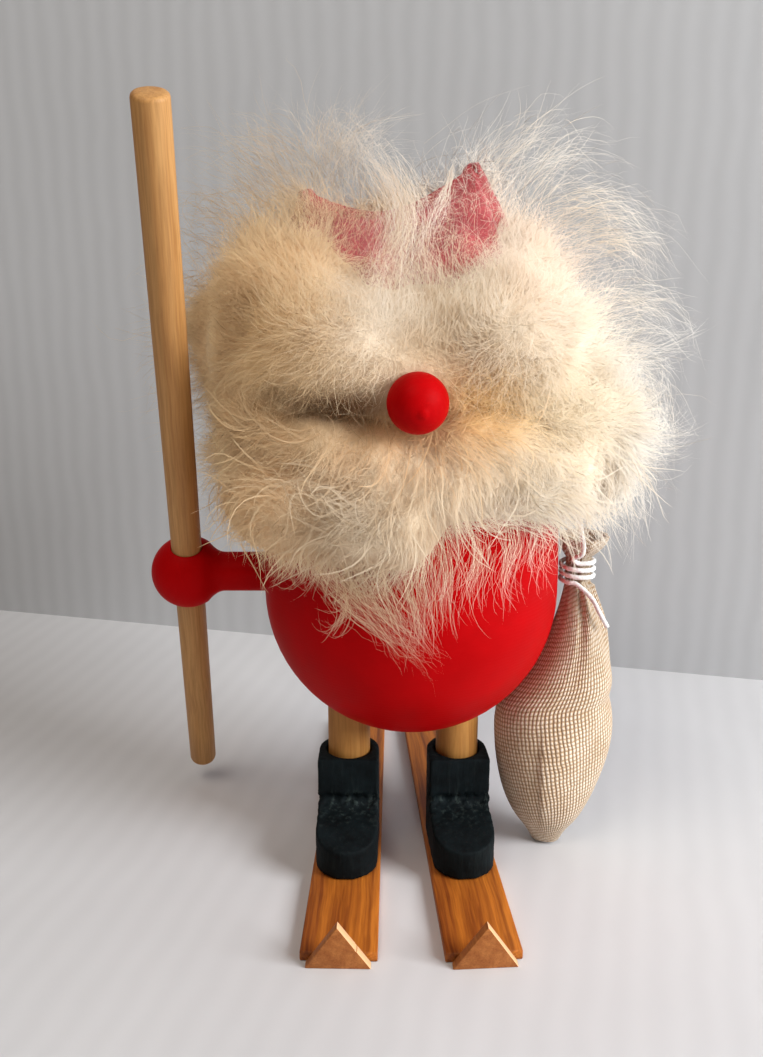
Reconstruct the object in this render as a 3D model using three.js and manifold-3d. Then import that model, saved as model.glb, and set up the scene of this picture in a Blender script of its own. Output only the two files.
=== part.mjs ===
// A turned wooden gnome on skis, with a staff, a cloth cap, fleece hair and beard, and a burlap sack.
// Millimetres, +Z up, facing -Y. The finished group is moved so that the middle of its footprint is the origin.

import * as THREE from "three";
import { mergeVertices } from "three/addons/utils/BufferGeometryUtils.js";
import Module from "manifold-3d";

const wasm = await Module();
wasm.setup();

// Clearances
const GAP = 0.3; // between two pieces that touch
const FLEECE_GAP = 0.5; // between the fleece and what it is glued to
const BORE_GAP = 0.15; // round a peg or dowel in its hole

// Body
const BODY_RADIUS = 29.7;
const BODY_BOTTOM = 29.3; // height of its lowest point above the floor
const HEAD_HEIGHT = 63; // from the widest ring to the crown
const HEAD_FULLNESS = 2.3; // 2 would be a plain ellipse
const BODY_WIDEST = BODY_BOTTOM + BODY_RADIUS;
const CROWN = BODY_WIDEST + HEAD_HEIGHT;

// Nose
const NOSE_RADIUS = 5.2;
const NOSE_BELOW_CROWN = 20;
const NOSE_STANDOFF = 9.5; // from the head's side to the bead's centre
const NOSE_POINT = 1.3; // how far the point stands out of the bead
const NOSE_DOWN = 12; // degrees
const NOSE_TURN = 9; // degrees towards the sack
const NOSE_PEG_RADIUS = 2;
const NOSE_PEG_LENGTH = 17; // from the bead's centre

// Arms
const HAND_RADIUS = 7.4;
const ARM_RADIUS = 4;
const ARM_LENGTH = 25; // from the hand's centre to the peg's end
const ARM_FILLET = 2.2;
const SHOULDER_RISE = 3; // above the body's widest ring
const HAND_STANDOFF = 15.8; // from the body's widest ring to the right hand's centre
const LEFT_SHOULDER_RISE = 19;
const LEFT_ARM_RAISED = 62; // degrees above level
const LEFT_HAND_OUT = 15; // from the body's side to the left hand's centre

// Staff
const STAFF_RADIUS = 3;
const STAFF_ABOVE = 96; // above the hand's centre, along the staff
const STAFF_BELOW = 61;
const STAFF_LEAN = 24.6; // degrees, the top forwards
const STAFF_TILT = 3.3; // degrees, the top inwards
const STAFF_ROUND = 0.8; // worn corner at each end
const STAFF_SLIDE_UP = 40; // how far it can be pushed up through the hand

// Legs, boots and skis
const LEG_RADIUS = 4.45;
const LEG_SPACING = 23;
const LEGS_SHIFT = -1.4; // the pair stands a little off the body's axis
const LEG_IN_BODY = 14;
const LEG_ROUND = 0.6;
const BOOT_WIDTH = 12.8;
const BOOT_HEIGHT = 20;
const BOOT_TOE = 19; // from the leg's axis to the toe
const BOOT_SHAFT = 5.9; // from the leg's axis to the shaft's front
const BOOT_BORE_FLOOR = 4; // wood left under the leg
const TOE_HEIGHT = 6;
const INSTEP_HEIGHT = 9.2;
const NOTCH_TOP = 12.2;
const NOTCH_DEPTH = 0.9;
const TOE_SWELL = 0.5; // how far the toe's sloping top bulges
const SKI_THICKNESS = 2;
const SKI_FRONT = 41; // from the leg's axis to the ski's front end
const SKI_REAR = 55;
const SKI_FRONT_WIDTH = 14.4;
const SKI_REAR_WIDTH = 12.9;
const SKI_SPLAY = [1.4, 3.9]; // degrees, left and right
const TIP_WIDTH = 12.2;
const TIP_HEIGHT = 9.8;
const TIP_THICKNESS = 1.8;
const TIP_LEAN = 8; // degrees forwards
const SIDES = ["left", "right"];

// Cap
const CAP_WALL = 1.5;
const CAP_SIDES = 24;
const CAP_RIM_BELOW_CROWN = 13;
const CAP_CORNERS_ABOVE_CROWN = [15, 20];
const CAP_DIP = 6; // how far the sewn edge sags between its corners
const CAP_TOP_HALF_WIDTH = 17;
const CAP_TOP_HALF_DEPTH = 3;
const CAP_SHIFT = -4.7; // the sewn edge's middle, along X
const CAP_BULGE_WIDTH = 3; // halfway up
const CAP_BULGE_DEPTH = 2;
const CAP_FLATTENING = 1.4; // above 1 the cap stays deep for longer before it flattens
const CAP_SQUARENESS = 0.35; // 0 would round the sewn edge's corners, 1 make them square

// Sack
const SACK_HALF_WIDTH = 12.9;
const SACK_HALF_DEPTH = 11;
const SACK_BOTTOM = 0.8;
const SACK_CLEAR = 0.5; // from the body's side and the boot
const SACK_CLOTH = 0.8;
// Height, half width and half depth, as shares, from the bottom to the neck
const SACK_STATIONS = [
  [0, 0.16, 0.16],
  [0.055, 0.45, 0.42],
  [0.156, 0.74, 0.73],
  [0.326, 0.94, 0.94],
  [0.496, 1, 1],
  [0.598, 0.9, 0.96],
  [0.666, 0.72, 0.87],
  [0.784, 0.5, 0.67],
  [0.886, 0.38, 0.49],
  [1, 0.19, 0.22],
];
const SACK_RINGS = 15;
const SACK_SIDES = 20;
const NECK_HEIGHT = 62.5;
const NECK_LENGTH = 5.6;
const NECK_RADIUS = 2.5;
const FRILL_HEIGHT = 4.4;
const FRILL_RADIUS = 5;

// String
const STRING_RADIUS = 0.5;
const STRING_TURNS = 3;
const STRING_PITCH = 1.5;
const TAIL_LENGTH = 10;
const TAIL_BOW = 3.2; // how far the tail bends out
const RING_AT = 4.1; // the loop's place along the left arm, from the body's side
const RING_LEAN = 24; // degrees, the loop's top towards the body
const RING_CLOSED = 0.93; // the share of a full turn that it makes

// Fleece
const PARTING_BELOW_CROWN = 29; // where the hair meets the beard, over the body's axis
const PARTING_SLOPE = 13; // degrees, rising to the front
// Each lock: its centre, with the height from the crown, and its half sizes
const HAIR_LOCKS = [
  [0, 3, -16, 40, 37, 19],
  [-22, -4, -4, 16, 19, 12],
  [22, 1, -3, 12, 19, 14],
  [0, 19, -3, 27, 17, 15],
  [33, 1, -28, 12.5, 20, 14],
  [-30, 7, -16, 12, 24, 16],
  [-15, -23, -12, 15, 13, 10],
  [17, -22, -10, 15, 13, 12],
  [0, 25, -24, 28, 17, 18],
];
const BEARD_LOCKS = [
  [0, 0, -38, 38, 35, 20],
  [-8, -24, -45, 15, 13, 17],
  [-20, -17, -43, 17, 16, 15],
  [20, -17, -37, 17, 15, 12],
  [32.5, 1, -34, 12.5, 20, 13],
  [0, -28, -56, 8, 8, 10],
  [0, 19, -42, 28, 19, 14],
];

const degrees = THREE.MathUtils.degToRad;
const figure = new THREE.Group();

// Materials
const paint = (color, roughness) => new THREE.MeshStandardMaterial({ color, roughness, metalness: 0 });
const redPaint = paint(0xc21018, 0.55);
const paleDowel = paint(0xc99a5b, 0.6);
const legWood = paint(0xbd7f35, 0.6);
const blackStain = paint(0x1b2628, 0.7);
const skiStain = paint(0xa5581c, 0.55);
const cutPine = paint(0xd79a5a, 0.7);
const redCloth = paint(0xc23a42, 0.9);
const fleece = paint(0xe6d6b8, 0.95);
const burlap = paint(0xb89a72, 0.95);
const wadding = paint(0xe0d8c8, 0.95);
const whiteString = paint(0xf0eee8, 0.8);

// Solids: a closed geometry becomes a solid that can be cut and joined, and comes back as a geometry
function merged(geometry) {
  const bare = geometry.clone();
  bare.deleteAttribute("normal");
  bare.deleteAttribute("uv");
  const welded = mergeVertices(bare, 1e-4);
  const at = welded.getAttribute("position");
  const faces = [];
  let volume = 0;
  const [a, b, c] = [new THREE.Vector3(), new THREE.Vector3(), new THREE.Vector3()];
  for (let i = 0; i < welded.index.count; i += 3) {
    const [p, q, r] = [0, 1, 2].map((k) => welded.index.getX(i + k));
    if (p === q || q === r || r === p) continue;
    faces.push([p, q, r]);
    a.fromBufferAttribute(at, p);
    b.fromBufferAttribute(at, q);
    c.fromBufferAttribute(at, r);
    volume += a.dot(b.cross(c)) / 6;
  }
  const outward = volume > 0 ? faces : faces.map(([p, q, r]) => [p, r, q]);
  return { points: new Float32Array(at.array), faces: new Uint32Array(outward.flat()) };
}

function solid(geometry, matrix = new THREE.Matrix4()) {
  const { points, faces } = merged(geometry.clone().applyMatrix4(matrix));
  return new wasm.Manifold(new wasm.Mesh({ numProp: 3, vertProperties: points, triVerts: faces }));
}

function geometryOf(shape) {
  const mesh = shape.getMesh();
  const geometry = new THREE.BufferGeometry();
  geometry.setAttribute("position", new THREE.BufferAttribute(new Float32Array(mesh.vertProperties), 3));
  geometry.setIndex(new THREE.BufferAttribute(new Uint32Array(mesh.triVerts), 1));
  geometry.computeVertexNormals();
  return geometry;
}

function add(name, shape, material) {
  const mesh = new THREE.Mesh(geometryOf(shape), material.clone());
  mesh.name = name;
  figure.add(mesh);
  return mesh;
}

const place = (x, y, z) => new THREE.Matrix4().makeTranslation(x, y, z);
const turn = (axis, angle) => new THREE.Matrix4().makeRotationAxis(axis, degrees(angle));
const X = new THREE.Vector3(1, 0, 0);
const Y = new THREE.Vector3(0, 1, 0);
const Z = new THREE.Vector3(0, 0, 1);
const chain = (...steps) => steps.reduce((all, step) => all.multiply(step), new THREE.Matrix4());

// A profile of [radius, height] points, turned round Z
function turned(profile, sides) {
  const points = profile.map(([radius, height]) => new THREE.Vector2(radius, height));
  return new THREE.LatheGeometry(points, sides).rotateX(Math.PI / 2);
}

const arc = (count, point) => Array.from({ length: count + 1 }, (_, i) => point(i / count));

function dowel(radius, bottom, top, round, sides = 24) {
  const profile = [
    [0, bottom],
    [radius - round, bottom],
    [radius, bottom + round],
    [radius, top - round],
    [radius - round, top],
    [0, top],
  ];
  return turned(profile, sides);
}

// The body's egg, grown by a clearance
function bodyRadiusAt(height) {
  const rise = height - BODY_WIDEST;
  if (rise <= 0) return Math.sqrt(Math.max(0, BODY_RADIUS ** 2 - rise ** 2));
  const left = Math.max(0, 1 - (rise / HEAD_HEIGHT) ** HEAD_FULLNESS);
  return BODY_RADIUS * left ** (1 / HEAD_FULLNESS);
}

function bodyShape(clear = 0, sides = 40) {
  const radius = BODY_RADIUS + clear;
  const crown = HEAD_HEIGHT + clear;
  const lower = arc(sides / 4, (t) => {
    const angle = (t * Math.PI) / 2;
    return [radius * Math.sin(angle), BODY_WIDEST - radius * Math.cos(angle)];
  });
  const upper = arc((sides * 3) / 10, (t) => {
    const angle = (t * Math.PI) / 2;
    const out = radius * Math.cos(angle) ** (2 / HEAD_FULLNESS);
    return [t === 1 ? 0 : out, BODY_WIDEST + crown * Math.sin(angle) ** (2 / HEAD_FULLNESS)];
  });
  return solid(turned([...lower, ...upper.slice(1)], sides));
}

// Nose: a bead that runs out to a small point, with its peg behind it
const noseHeight = CROWN - NOSE_BELOW_CROWN;
const noseMatrix = chain(
  place(0, -bodyRadiusAt(noseHeight) - NOSE_STANDOFF, noseHeight),
  turn(Z, NOSE_TURN),
  turn(X, 90 + NOSE_DOWN),
);

function noseShape(clear = 0) {
  const radius = NOSE_RADIUS + clear;
  const peg = NOSE_PEG_RADIUS + clear;
  const start = Math.asin(peg / radius);
  const bead = arc(12, (t) => {
    const angle = start + t * (Math.PI * 0.9 - start);
    return [radius * Math.sin(angle), -radius * Math.cos(angle)];
  });
  const profile = [[0, -NOSE_PEG_LENGTH - clear], [peg, -NOSE_PEG_LENGTH - clear], ...bead];
  return solid(turned([...profile, [0, radius + NOSE_POINT]], 20), noseMatrix);
}

// Arm: a ball hand at the origin, its arm and peg along +Z, joined by a fillet
function armGeometry(clear = 0) {
  const radius = HAND_RADIUS + clear;
  const peg = ARM_RADIUS + clear;
  const reach = peg + ARM_FILLET;
  const leave = Math.asin(reach / radius);
  const ball = arc(12, (t) => {
    const angle = Math.PI - t * (Math.PI - leave);
    return [t === 0 ? 0 : radius * Math.sin(angle), radius * Math.cos(angle)];
  });
  const from = radius * Math.cos(leave);
  const fillet = arc(3, (t) => [peg + ARM_FILLET * (1 - t) ** 2, from + ARM_FILLET * 1.6 * t]);
  const end = ARM_LENGTH + clear;
  return turned([...ball, ...fillet.slice(1), [peg, end], [0, end]], 24);
}

const rightHand = new THREE.Vector3(-BODY_RADIUS - HAND_STANDOFF, 0, BODY_WIDEST + SHOULDER_RISE);
const rightArmMatrix = chain(place(...rightHand.toArray()), turn(Y, 90));
const staffMatrix = chain(
  place(...rightHand.toArray()),
  turn(X, STAFF_LEAN),
  turn(Y, STAFF_TILT),
);

// The left arm rises from the body's side at its own shoulder height
const leftShoulderHeight = BODY_WIDEST + LEFT_SHOULDER_RISE;
const leftShoulder = new THREE.Vector3(bodyRadiusAt(leftShoulderHeight), 0, leftShoulderHeight);
const leftOutward = new THREE.Vector3(1, 0, 0).applyMatrix4(turn(Y, -LEFT_ARM_RAISED));
const leftHand = leftShoulder.clone().addScaledVector(leftOutward, LEFT_HAND_OUT);
const leftArmMatrix = chain(place(...leftHand.toArray()), turn(Y, -90 - LEFT_ARM_RAISED));

const armShape = (matrix, clear = 0) => solid(armGeometry(clear), matrix);
const staffShape = (clear = 0) =>
  solid(dowel(STAFF_RADIUS + clear, -STAFF_BELOW - clear, STAFF_ABOVE + clear, STAFF_ROUND), staffMatrix);

// Legs stand in the boots and run up into the body
const footX = (side) => LEGS_SHIFT + (side === "left" ? -1 : 1) * (LEG_SPACING / 2);
const legBottom = SKI_THICKNESS + GAP + BOOT_BORE_FLOOR + GAP;

function legShape(side, clear = 0) {
  const out = Math.abs(footX(side));
  const entry = BODY_WIDEST - Math.sqrt(BODY_RADIUS ** 2 - out ** 2);
  const top = entry + LEG_IN_BODY;
  return solid(dowel(LEG_RADIUS + clear, legBottom - clear, top + clear, LEG_ROUND), place(footX(side), 0, 0));
}

// Each foot's boot, ski and tip turn outwards together about the leg
const footMatrix = (side) => {
  const splay = side === "left" ? -SKI_SPLAY[0] : SKI_SPLAY[1];
  return chain(place(footX(side), 0, 0), turn(Z, splay));
};

function extruded(points, depth) {
  const outline = new THREE.Shape(points.map(([u, v]) => new THREE.Vector2(u, v)));
  return new THREE.ExtrudeGeometry(outline, { depth, bevelEnabled: false, curveSegments: 8 });
}

// Boot: its side view and its plan, each extruded, keep what they share
function bootShape(side) {
  const half = BOOT_WIDTH / 2;
  const behind = half + 1; // the plan sets the boot's round back
  const profile = [
    [behind, 0],
    [behind, BOOT_HEIGHT],
    [-BOOT_SHAFT, BOOT_HEIGHT],
    [-BOOT_SHAFT, NOTCH_TOP],
    [-BOOT_SHAFT + NOTCH_DEPTH, (NOTCH_TOP + INSTEP_HEIGHT) / 2],
    [-BOOT_SHAFT - NOTCH_DEPTH, INSTEP_HEIGHT],
    [-(BOOT_SHAFT + BOOT_TOE) / 2, (INSTEP_HEIGHT + TOE_HEIGHT) / 2 + TOE_SWELL],
    [-BOOT_TOE, TOE_HEIGHT],
    [-BOOT_TOE, 0],
  ];
  const standing = chain(place(-half, 0, 0), turn(Z, 90), turn(X, 90));
  const sideView = solid(extruded(profile, BOOT_WIDTH), standing);
  const round = (centre, from) =>
    arc(10, (t) => {
      const angle = degrees(from + 180 * t);
      return [half * Math.cos(angle), centre + half * Math.sin(angle)];
    });
  const plan = solid(extruded([...round(0, 0), ...round(half - BOOT_TOE, 180)], BOOT_HEIGHT));
  const bored = sideView.intersect(plan).translate([0, 0, SKI_THICKNESS + GAP]);
  return bored.transform(footMatrix(side).toArray()).subtract(legShape(side, BORE_GAP));
}

function skiShape(side) {
  const outline = [
    [-SKI_FRONT_WIDTH / 2, -SKI_FRONT],
    [SKI_FRONT_WIDTH / 2, -SKI_FRONT],
    [SKI_REAR_WIDTH / 2, SKI_REAR],
    [-SKI_REAR_WIDTH / 2, SKI_REAR],
  ];
  return solid(extruded(outline, SKI_THICKNESS), footMatrix(side));
}

// A tip's triangle stands against the ski's front end and leans forwards
function tipShape(side) {
  const triangle = [
    [-TIP_WIDTH / 2, 0],
    [TIP_WIDTH / 2, 0],
    [0, TIP_HEIGHT],
  ];
  const lift = TIP_THICKNESS * Math.sin(degrees(TIP_LEAN));
  const stand = chain(place(0, -SKI_FRONT - GAP, lift), turn(X, 90 + TIP_LEAN));
  return solid(extruded(triangle, TIP_THICKNESS), footMatrix(side).multiply(stand));
}

// A closed skin over rings of points, each ring the same length, capped at both ends
function lofted(rings) {
  const sides = rings[0].length;
  const middle = (ring) =>
    ring.reduce((sum, p) => sum.add(p), new THREE.Vector3()).divideScalar(ring.length);
  const points = [...rings.flat(), middle(rings[0]), middle(rings.at(-1))];
  const faces = [];
  for (let i = 0; i < rings.length - 1; i++) {
    for (let j = 0; j < sides; j++) {
      const [a, b] = [i * sides + j, i * sides + ((j + 1) % sides)];
      faces.push(a, b, b + sides, a, b + sides, a + sides);
    }
  }
  const [first, last] = [points.length - 2, points.length - 1];
  const top = (rings.length - 1) * sides;
  for (let j = 0; j < sides; j++) {
    const k = (j + 1) % sides;
    faces.push(first, k, j, last, top + j, top + k);
  }
  const geometry = new THREE.BufferGeometry().setFromPoints(points);
  return geometry.setIndex(faces);
}

const mix = THREE.MathUtils.lerp;

// Cap: a round rim that flattens upwards into a straight sewn edge with a corner at each end
function capShape(inset = 0) {
  const rimHeight = CROWN - CAP_RIM_BELOW_CROWN;
  const rimRadius = bodyRadiusAt(rimHeight) + GAP + CAP_WALL;
  const rim = rimHeight - Math.abs(inset);
  const [left, right] = CAP_CORNERS_ABOVE_CROWN.map((rise) => CROWN + rise);
  const rings = arc(7, (t) => {
    const bulge = Math.sin(Math.PI * t);
    const width = mix(rimRadius, CAP_TOP_HALF_WIDTH, t) + CAP_BULGE_WIDTH * bulge - inset;
    const flat = t ** CAP_FLATTENING;
    const depth = mix(rimRadius, CAP_TOP_HALF_DEPTH, flat) + CAP_BULGE_DEPTH * bulge - inset;
    return arc(CAP_SIDES - 1, (s) => {
      const angle = (2 * Math.PI * s * (CAP_SIDES - 1)) / CAP_SIDES;
      const across = Math.cos(angle);
      const corner = mix(left, right, (across + 1) / 2);
      const edge = corner - CAP_DIP * (1 - across ** 2) - inset;
      const out = mix(1, 1 / Math.max(Math.abs(across), Math.abs(Math.sin(angle))), t * CAP_SQUARENESS);
      const x = CAP_SHIFT * t + width * across * out;
      const y = Math.max(0.8, depth) * Math.sin(angle) * out;
      return new THREE.Vector3(x, y, mix(rim, edge, t));
    });
  });
  return solid(lofted(rings));
}

// Sack: oval rings that lie against the body's side, a short neck, then the frilled mouth
const neckStart = NECK_HEIGHT - NECK_LENGTH / 2;
const neckEnd = NECK_HEIGHT + NECK_LENGTH / 2;
const sackX = (z, half) => {
  const besideBoot = footX("right") + BOOT_WIDTH / 2 + SACK_CLEAR + SACK_HALF_WIDTH;
  return Math.max(besideBoot, bodyRadiusAt(z) + SACK_CLEAR + half);
};
const neckX = sackX(NECK_HEIGHT, NECK_RADIUS + GAP + 2 * STRING_RADIUS);
const frillX = sackX(neckEnd + FRILL_HEIGHT, FRILL_RADIUS);

// The string's loop leans over the left arm beside the body, and the sack hangs from its lowest point
const ringHalfWidth = ARM_RADIUS + GAP + STRING_RADIUS;
const ringHalfHeight = ringHalfWidth / Math.cos(degrees(LEFT_ARM_RAISED - RING_LEAN));
const ringCentre = leftShoulder.clone().addScaledVector(leftOutward, RING_AT);
const ringDown = new THREE.Vector3(0, 0, -1).applyMatrix4(turn(Y, -RING_LEAN));
const hangPoint = ringCentre.clone().addScaledVector(ringDown, ringHalfHeight);
const sackY = hangPoint.y;

// The stations' width and depth at a share of the height
function sackShares(share) {
  const above = SACK_STATIONS.findIndex(([at]) => at > share);
  if (above < 0) return SACK_STATIONS.at(-1).slice(1);
  const [low, high] = [SACK_STATIONS[above - 1], SACK_STATIONS[above]];
  const t = (share - low[0]) / (high[0] - low[0]);
  return [mix(low[1], high[1], t), mix(low[2], high[2], t)];
}

function sackSections(inset) {
  const body = arc(SACK_RINGS, (t) => {
    const [width, depth] = sackShares(t);
    const z = mix(SACK_BOTTOM + inset, neckStart, t);
    const half = Math.max(NECK_RADIUS, width * SACK_HALF_WIDTH);
    const x = sackX(z, half + (GAP + 2 * STRING_RADIUS) * t ** 8);
    return [z, x, half - inset, Math.max(NECK_RADIUS, depth * SACK_HALF_DEPTH) - inset];
  });
  const mouth = arc(4, (t) => {
    const radius = mix(NECK_RADIUS, FRILL_RADIUS, Math.sin((t * Math.PI) / 2)) - inset;
    return [mix(neckEnd, neckEnd + FRILL_HEIGHT + inset, t), mix(neckX, frillX, t), radius, radius];
  });
  return { body, mouth };
}

function sackLoft(sections) {
  const rings = sections.map(([z, x, width, depth]) =>
    arc(SACK_SIDES - 1, (s) => {
      const angle = (2 * Math.PI * s * (SACK_SIDES - 1)) / SACK_SIDES;
      return new THREE.Vector3(x + width * Math.cos(angle), sackY + depth * Math.sin(angle), z);
    }),
  );
  return solid(lofted(rings));
}

function sackShape() {
  const [outer, inner] = [0, SACK_CLOTH].map((inset) => {
    const { body, mouth } = sackSections(inset);
    return sackLoft([...body, ...mouth]);
  });
  return outer.subtract(inner);
}

const fillingShape = () => sackLoft(sackSections(SACK_CLOTH + GAP).body);

// String: each piece is one unbroken tube along a smooth path
function tube(points, steps) {
  const path = new THREE.CatmullRomCurve3(points, false, "centripetal");
  const corners = arc(5, (t) => {
    const angle = (t * 5 * Math.PI) / 3;
    return [STRING_RADIUS * Math.cos(angle), STRING_RADIUS * Math.sin(angle)];
  });
  const section = new THREE.Shape(corners.map(([u, v]) => new THREE.Vector2(u, v)));
  return new THREE.ExtrudeGeometry(section, { steps, extrudePath: path, bevelEnabled: false });
}

function leastGap(points, apart) {
  let least = Infinity;
  for (let i = 0; i < points.length; i++) {
    for (let j = i + apart; j < points.length; j++) {
      least = Math.min(least, points[i].distanceTo(points[j]) - 2 * STRING_RADIUS);
    }
  }
  return least;
}

// From the ring down in front of the frill, round the neck, and out to the loose tail
function sackString() {
  const radius = NECK_RADIUS + GAP + STRING_RADIUS;
  const front = sackY - FRILL_RADIUS - GAP - STRING_RADIUS;
  const windingTop = NECK_HEIGHT + (STRING_TURNS * STRING_PITCH) / 2;
  const hang = [
    hangPoint.clone().add(new THREE.Vector3(0, 0, -STRING_RADIUS - GAP)),
    new THREE.Vector3(hangPoint.x, mix(sackY, front, 0.75), mix(hangPoint.z, neckEnd + FRILL_HEIGHT, 0.4)),
    new THREE.Vector3(neckX, front, neckEnd + FRILL_HEIGHT * 0.6),
    new THREE.Vector3(neckX - radius * 0.5, sackY - radius * 1.35, windingTop + STRING_PITCH * 0.9),
  ];
  const perTurn = 12;
  const turns = arc(STRING_TURNS * perTurn, (t) => {
    const angle = -Math.PI * 0.55 + 2 * Math.PI * STRING_TURNS * t;
    const z = windingTop - STRING_TURNS * STRING_PITCH * t;
    return new THREE.Vector3(neckX + radius * Math.cos(angle), sackY + radius * Math.sin(angle), z);
  });
  const end = turns.at(-1);
  const tail = [0.3, 0.65, 1].map((t) => {
    const drop = TAIL_LENGTH * t;
    return end.clone().add(new THREE.Vector3(1.5 + drop * 0.45, -TAIL_BOW * Math.sin(t * 1.8), -drop * 0.8));
  });
  console.log("least gap of the string to itself:", leastGap(turns, perTurn - 1).toFixed(2), "mm");
  return solid(tube([...hang, ...turns, ...tail], STRING_TURNS * 24 + 24));
}

// The loop's two ends meet underneath, a little apart
function stringLoop() {
  const turns = arc(24, (t) => {
    const angle = 2 * Math.PI * RING_CLOSED * (t - 0.5);
    return ringCentre
      .clone()
      .addScaledVector(ringDown, -ringHalfHeight * Math.cos(angle))
      .addScaledVector(Y, ringHalfWidth * Math.sin(angle));
  });
  return solid(tube(turns, 24));
}

// Fleece: locks that swell out of each other, cut clear of what they lie on
function locks(list) {
  return list
    .map(([x, y, z, rx, ry, rz]) => {
      const lock = new THREE.SphereGeometry(1, 16, 10).rotateX(Math.PI / 2).scale(rx, ry, rz);
      return solid(lock, place(x, y, CROWN + z));
    })
    .reduce((all, lock) => all.add(lock));
}

// The room that the staff sweeps as the arm turns, out to its end when it is pushed right up
function staffRoom() {
  const reach = STAFF_ABOVE + STAFF_SLIDE_UP + 20;
  const inner = rightHand.x + STAFF_RADIUS + FLEECE_GAP;
  const outer = rightHand.x - 60;
  const profile = [
    [0, outer],
    [reach, outer],
    [reach, inner + reach * Math.tan(degrees(STAFF_TILT))],
    [0, inner],
  ];
  const points = profile.map(([radius, x]) => new THREE.Vector2(radius, x));
  return solid(new THREE.LatheGeometry(points, 24).rotateZ(-Math.PI / 2), place(0, 0, rightHand.z));
}

// The room round the sack's mouth, through which it swings
function mouthRoom() {
  const pocket = new THREE.SphereGeometry(1, 12, 8).scale(FRILL_RADIUS + 3, FRILL_RADIUS + 7.5, 11);
  return solid(pocket, place(neckX, sackY, neckEnd + FRILL_HEIGHT / 2));
}

// The room round the string's loop on the left arm
function loopRoom() {
  const half = STRING_RADIUS + FLEECE_GAP;
  const disc = turned([[0, -half], [1, -half], [1, half], [0, half]], 20);
  const size = new THREE.Vector3(ringHalfHeight + half, ringHalfWidth + half, 1);
  return solid(disc, chain(place(...ringCentre.toArray()), turn(Y, 90 - RING_LEAN)).scale(size));
}

// Everything on one side of the parting, which runs up towards the nose
function partingSide(up) {
  const size = 200;
  const slab = new THREE.BoxGeometry(size, size, size);
  const shift = (size / 2 + FLEECE_GAP / 2) * (up ? 1 : -1);
  return solid(slab, chain(place(0, 0, CROWN - PARTING_BELOW_CROWN), turn(X, -PARTING_SLOPE), place(0, 0, shift)));
}

function fleeceShape(list, up) {
  const cutters = [
    bodyShape(FLEECE_GAP * 2, 20),
    capShape(-FLEECE_GAP),
    noseShape(FLEECE_GAP),
    armShape(rightArmMatrix, FLEECE_GAP),
    armShape(leftArmMatrix, FLEECE_GAP),
    staffRoom(),
    mouthRoom(),
    loopRoom(),
  ];
  return cutters.reduce((shape, cutter) => shape.subtract(cutter), locks(list).intersect(partingSide(up)));
}

// Assembly
const body = bodyShape()
  .subtract(noseShape(BORE_GAP))
  .subtract(armShape(rightArmMatrix, BORE_GAP))
  .subtract(armShape(leftArmMatrix, BORE_GAP))
  .subtract(legShape("left", BORE_GAP))
  .subtract(legShape("right", BORE_GAP));

add("body", body, redPaint);
add("nose", noseShape(), redPaint);
add("right_arm", armShape(rightArmMatrix).subtract(staffShape(BORE_GAP)), redPaint);
add("left_arm", armShape(leftArmMatrix), redPaint);
add("staff", staffShape(), paleDowel);

for (const side of SIDES) {
  add(`leg_${side}`, legShape(side), legWood);
  add(`boot_${side}`, bootShape(side), blackStain);
  add(`ski_${side}`, skiShape(side), skiStain);
  add(`ski_tip_${side}`, tipShape(side), cutPine);
}

add("cap", capShape().subtract(capShape(CAP_WALL)).subtract(bodyShape(GAP)), redCloth);
add("hair", fleeceShape(HAIR_LOCKS, true), fleece);
add("beard", fleeceShape(BEARD_LOCKS, false), fleece);
add("sack", sackShape(), burlap);
add("sack_filling", fillingShape(), wadding);
add("sack_string", sackString(), whiteString);
add("string_loop", stringLoop(), whiteString);

// The origin is the middle of the box's bottom
const box = new THREE.Box3().setFromObject(figure);
const middle = box.getCenter(new THREE.Vector3());
figure.position.set(-middle.x, -middle.y, -box.min.z);

const moved = (point) => point.clone().add(figure.position).toArray().map((v) => Number(v.toFixed(2)));
const staffAxis = new THREE.Vector3(0, 0, 1).transformDirection(staffMatrix);
console.log("size:", box.getSize(new THREE.Vector3()).toArray().map((v) => v.toFixed(1)).join(" x "), "mm");
console.log("right hand, where the arm turns:", moved(rightHand));
console.log("staff's direction:", staffAxis.toArray().map((v) => v.toFixed(4)).join(", "));
console.log("hanging point of the sack:", moved(hangPoint));
for (const side of SIDES) {
  console.log(`${side} leg on its ski:`, moved(new THREE.Vector3(footX(side), 0, 0)));
}

export default figure;
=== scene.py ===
# %% [markdown]
# # A wooden gnome on skis
# This lesson dresses a small turned figure: a red egg of a body on two dowel legs, black boots, stained skis,
# a bead nose, a staff, a cloth cap, a burlap sack on a string, and a great deal of fleece for hair and beard.
# The solid model is loaded first. It says where every piece is, so nothing here has to be fitted by eye.

# %% Load the solid model
import math

import bpy
import numpy as np
from mathutils import Matrix, Vector
from mathutils.kdtree import KDTree


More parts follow.
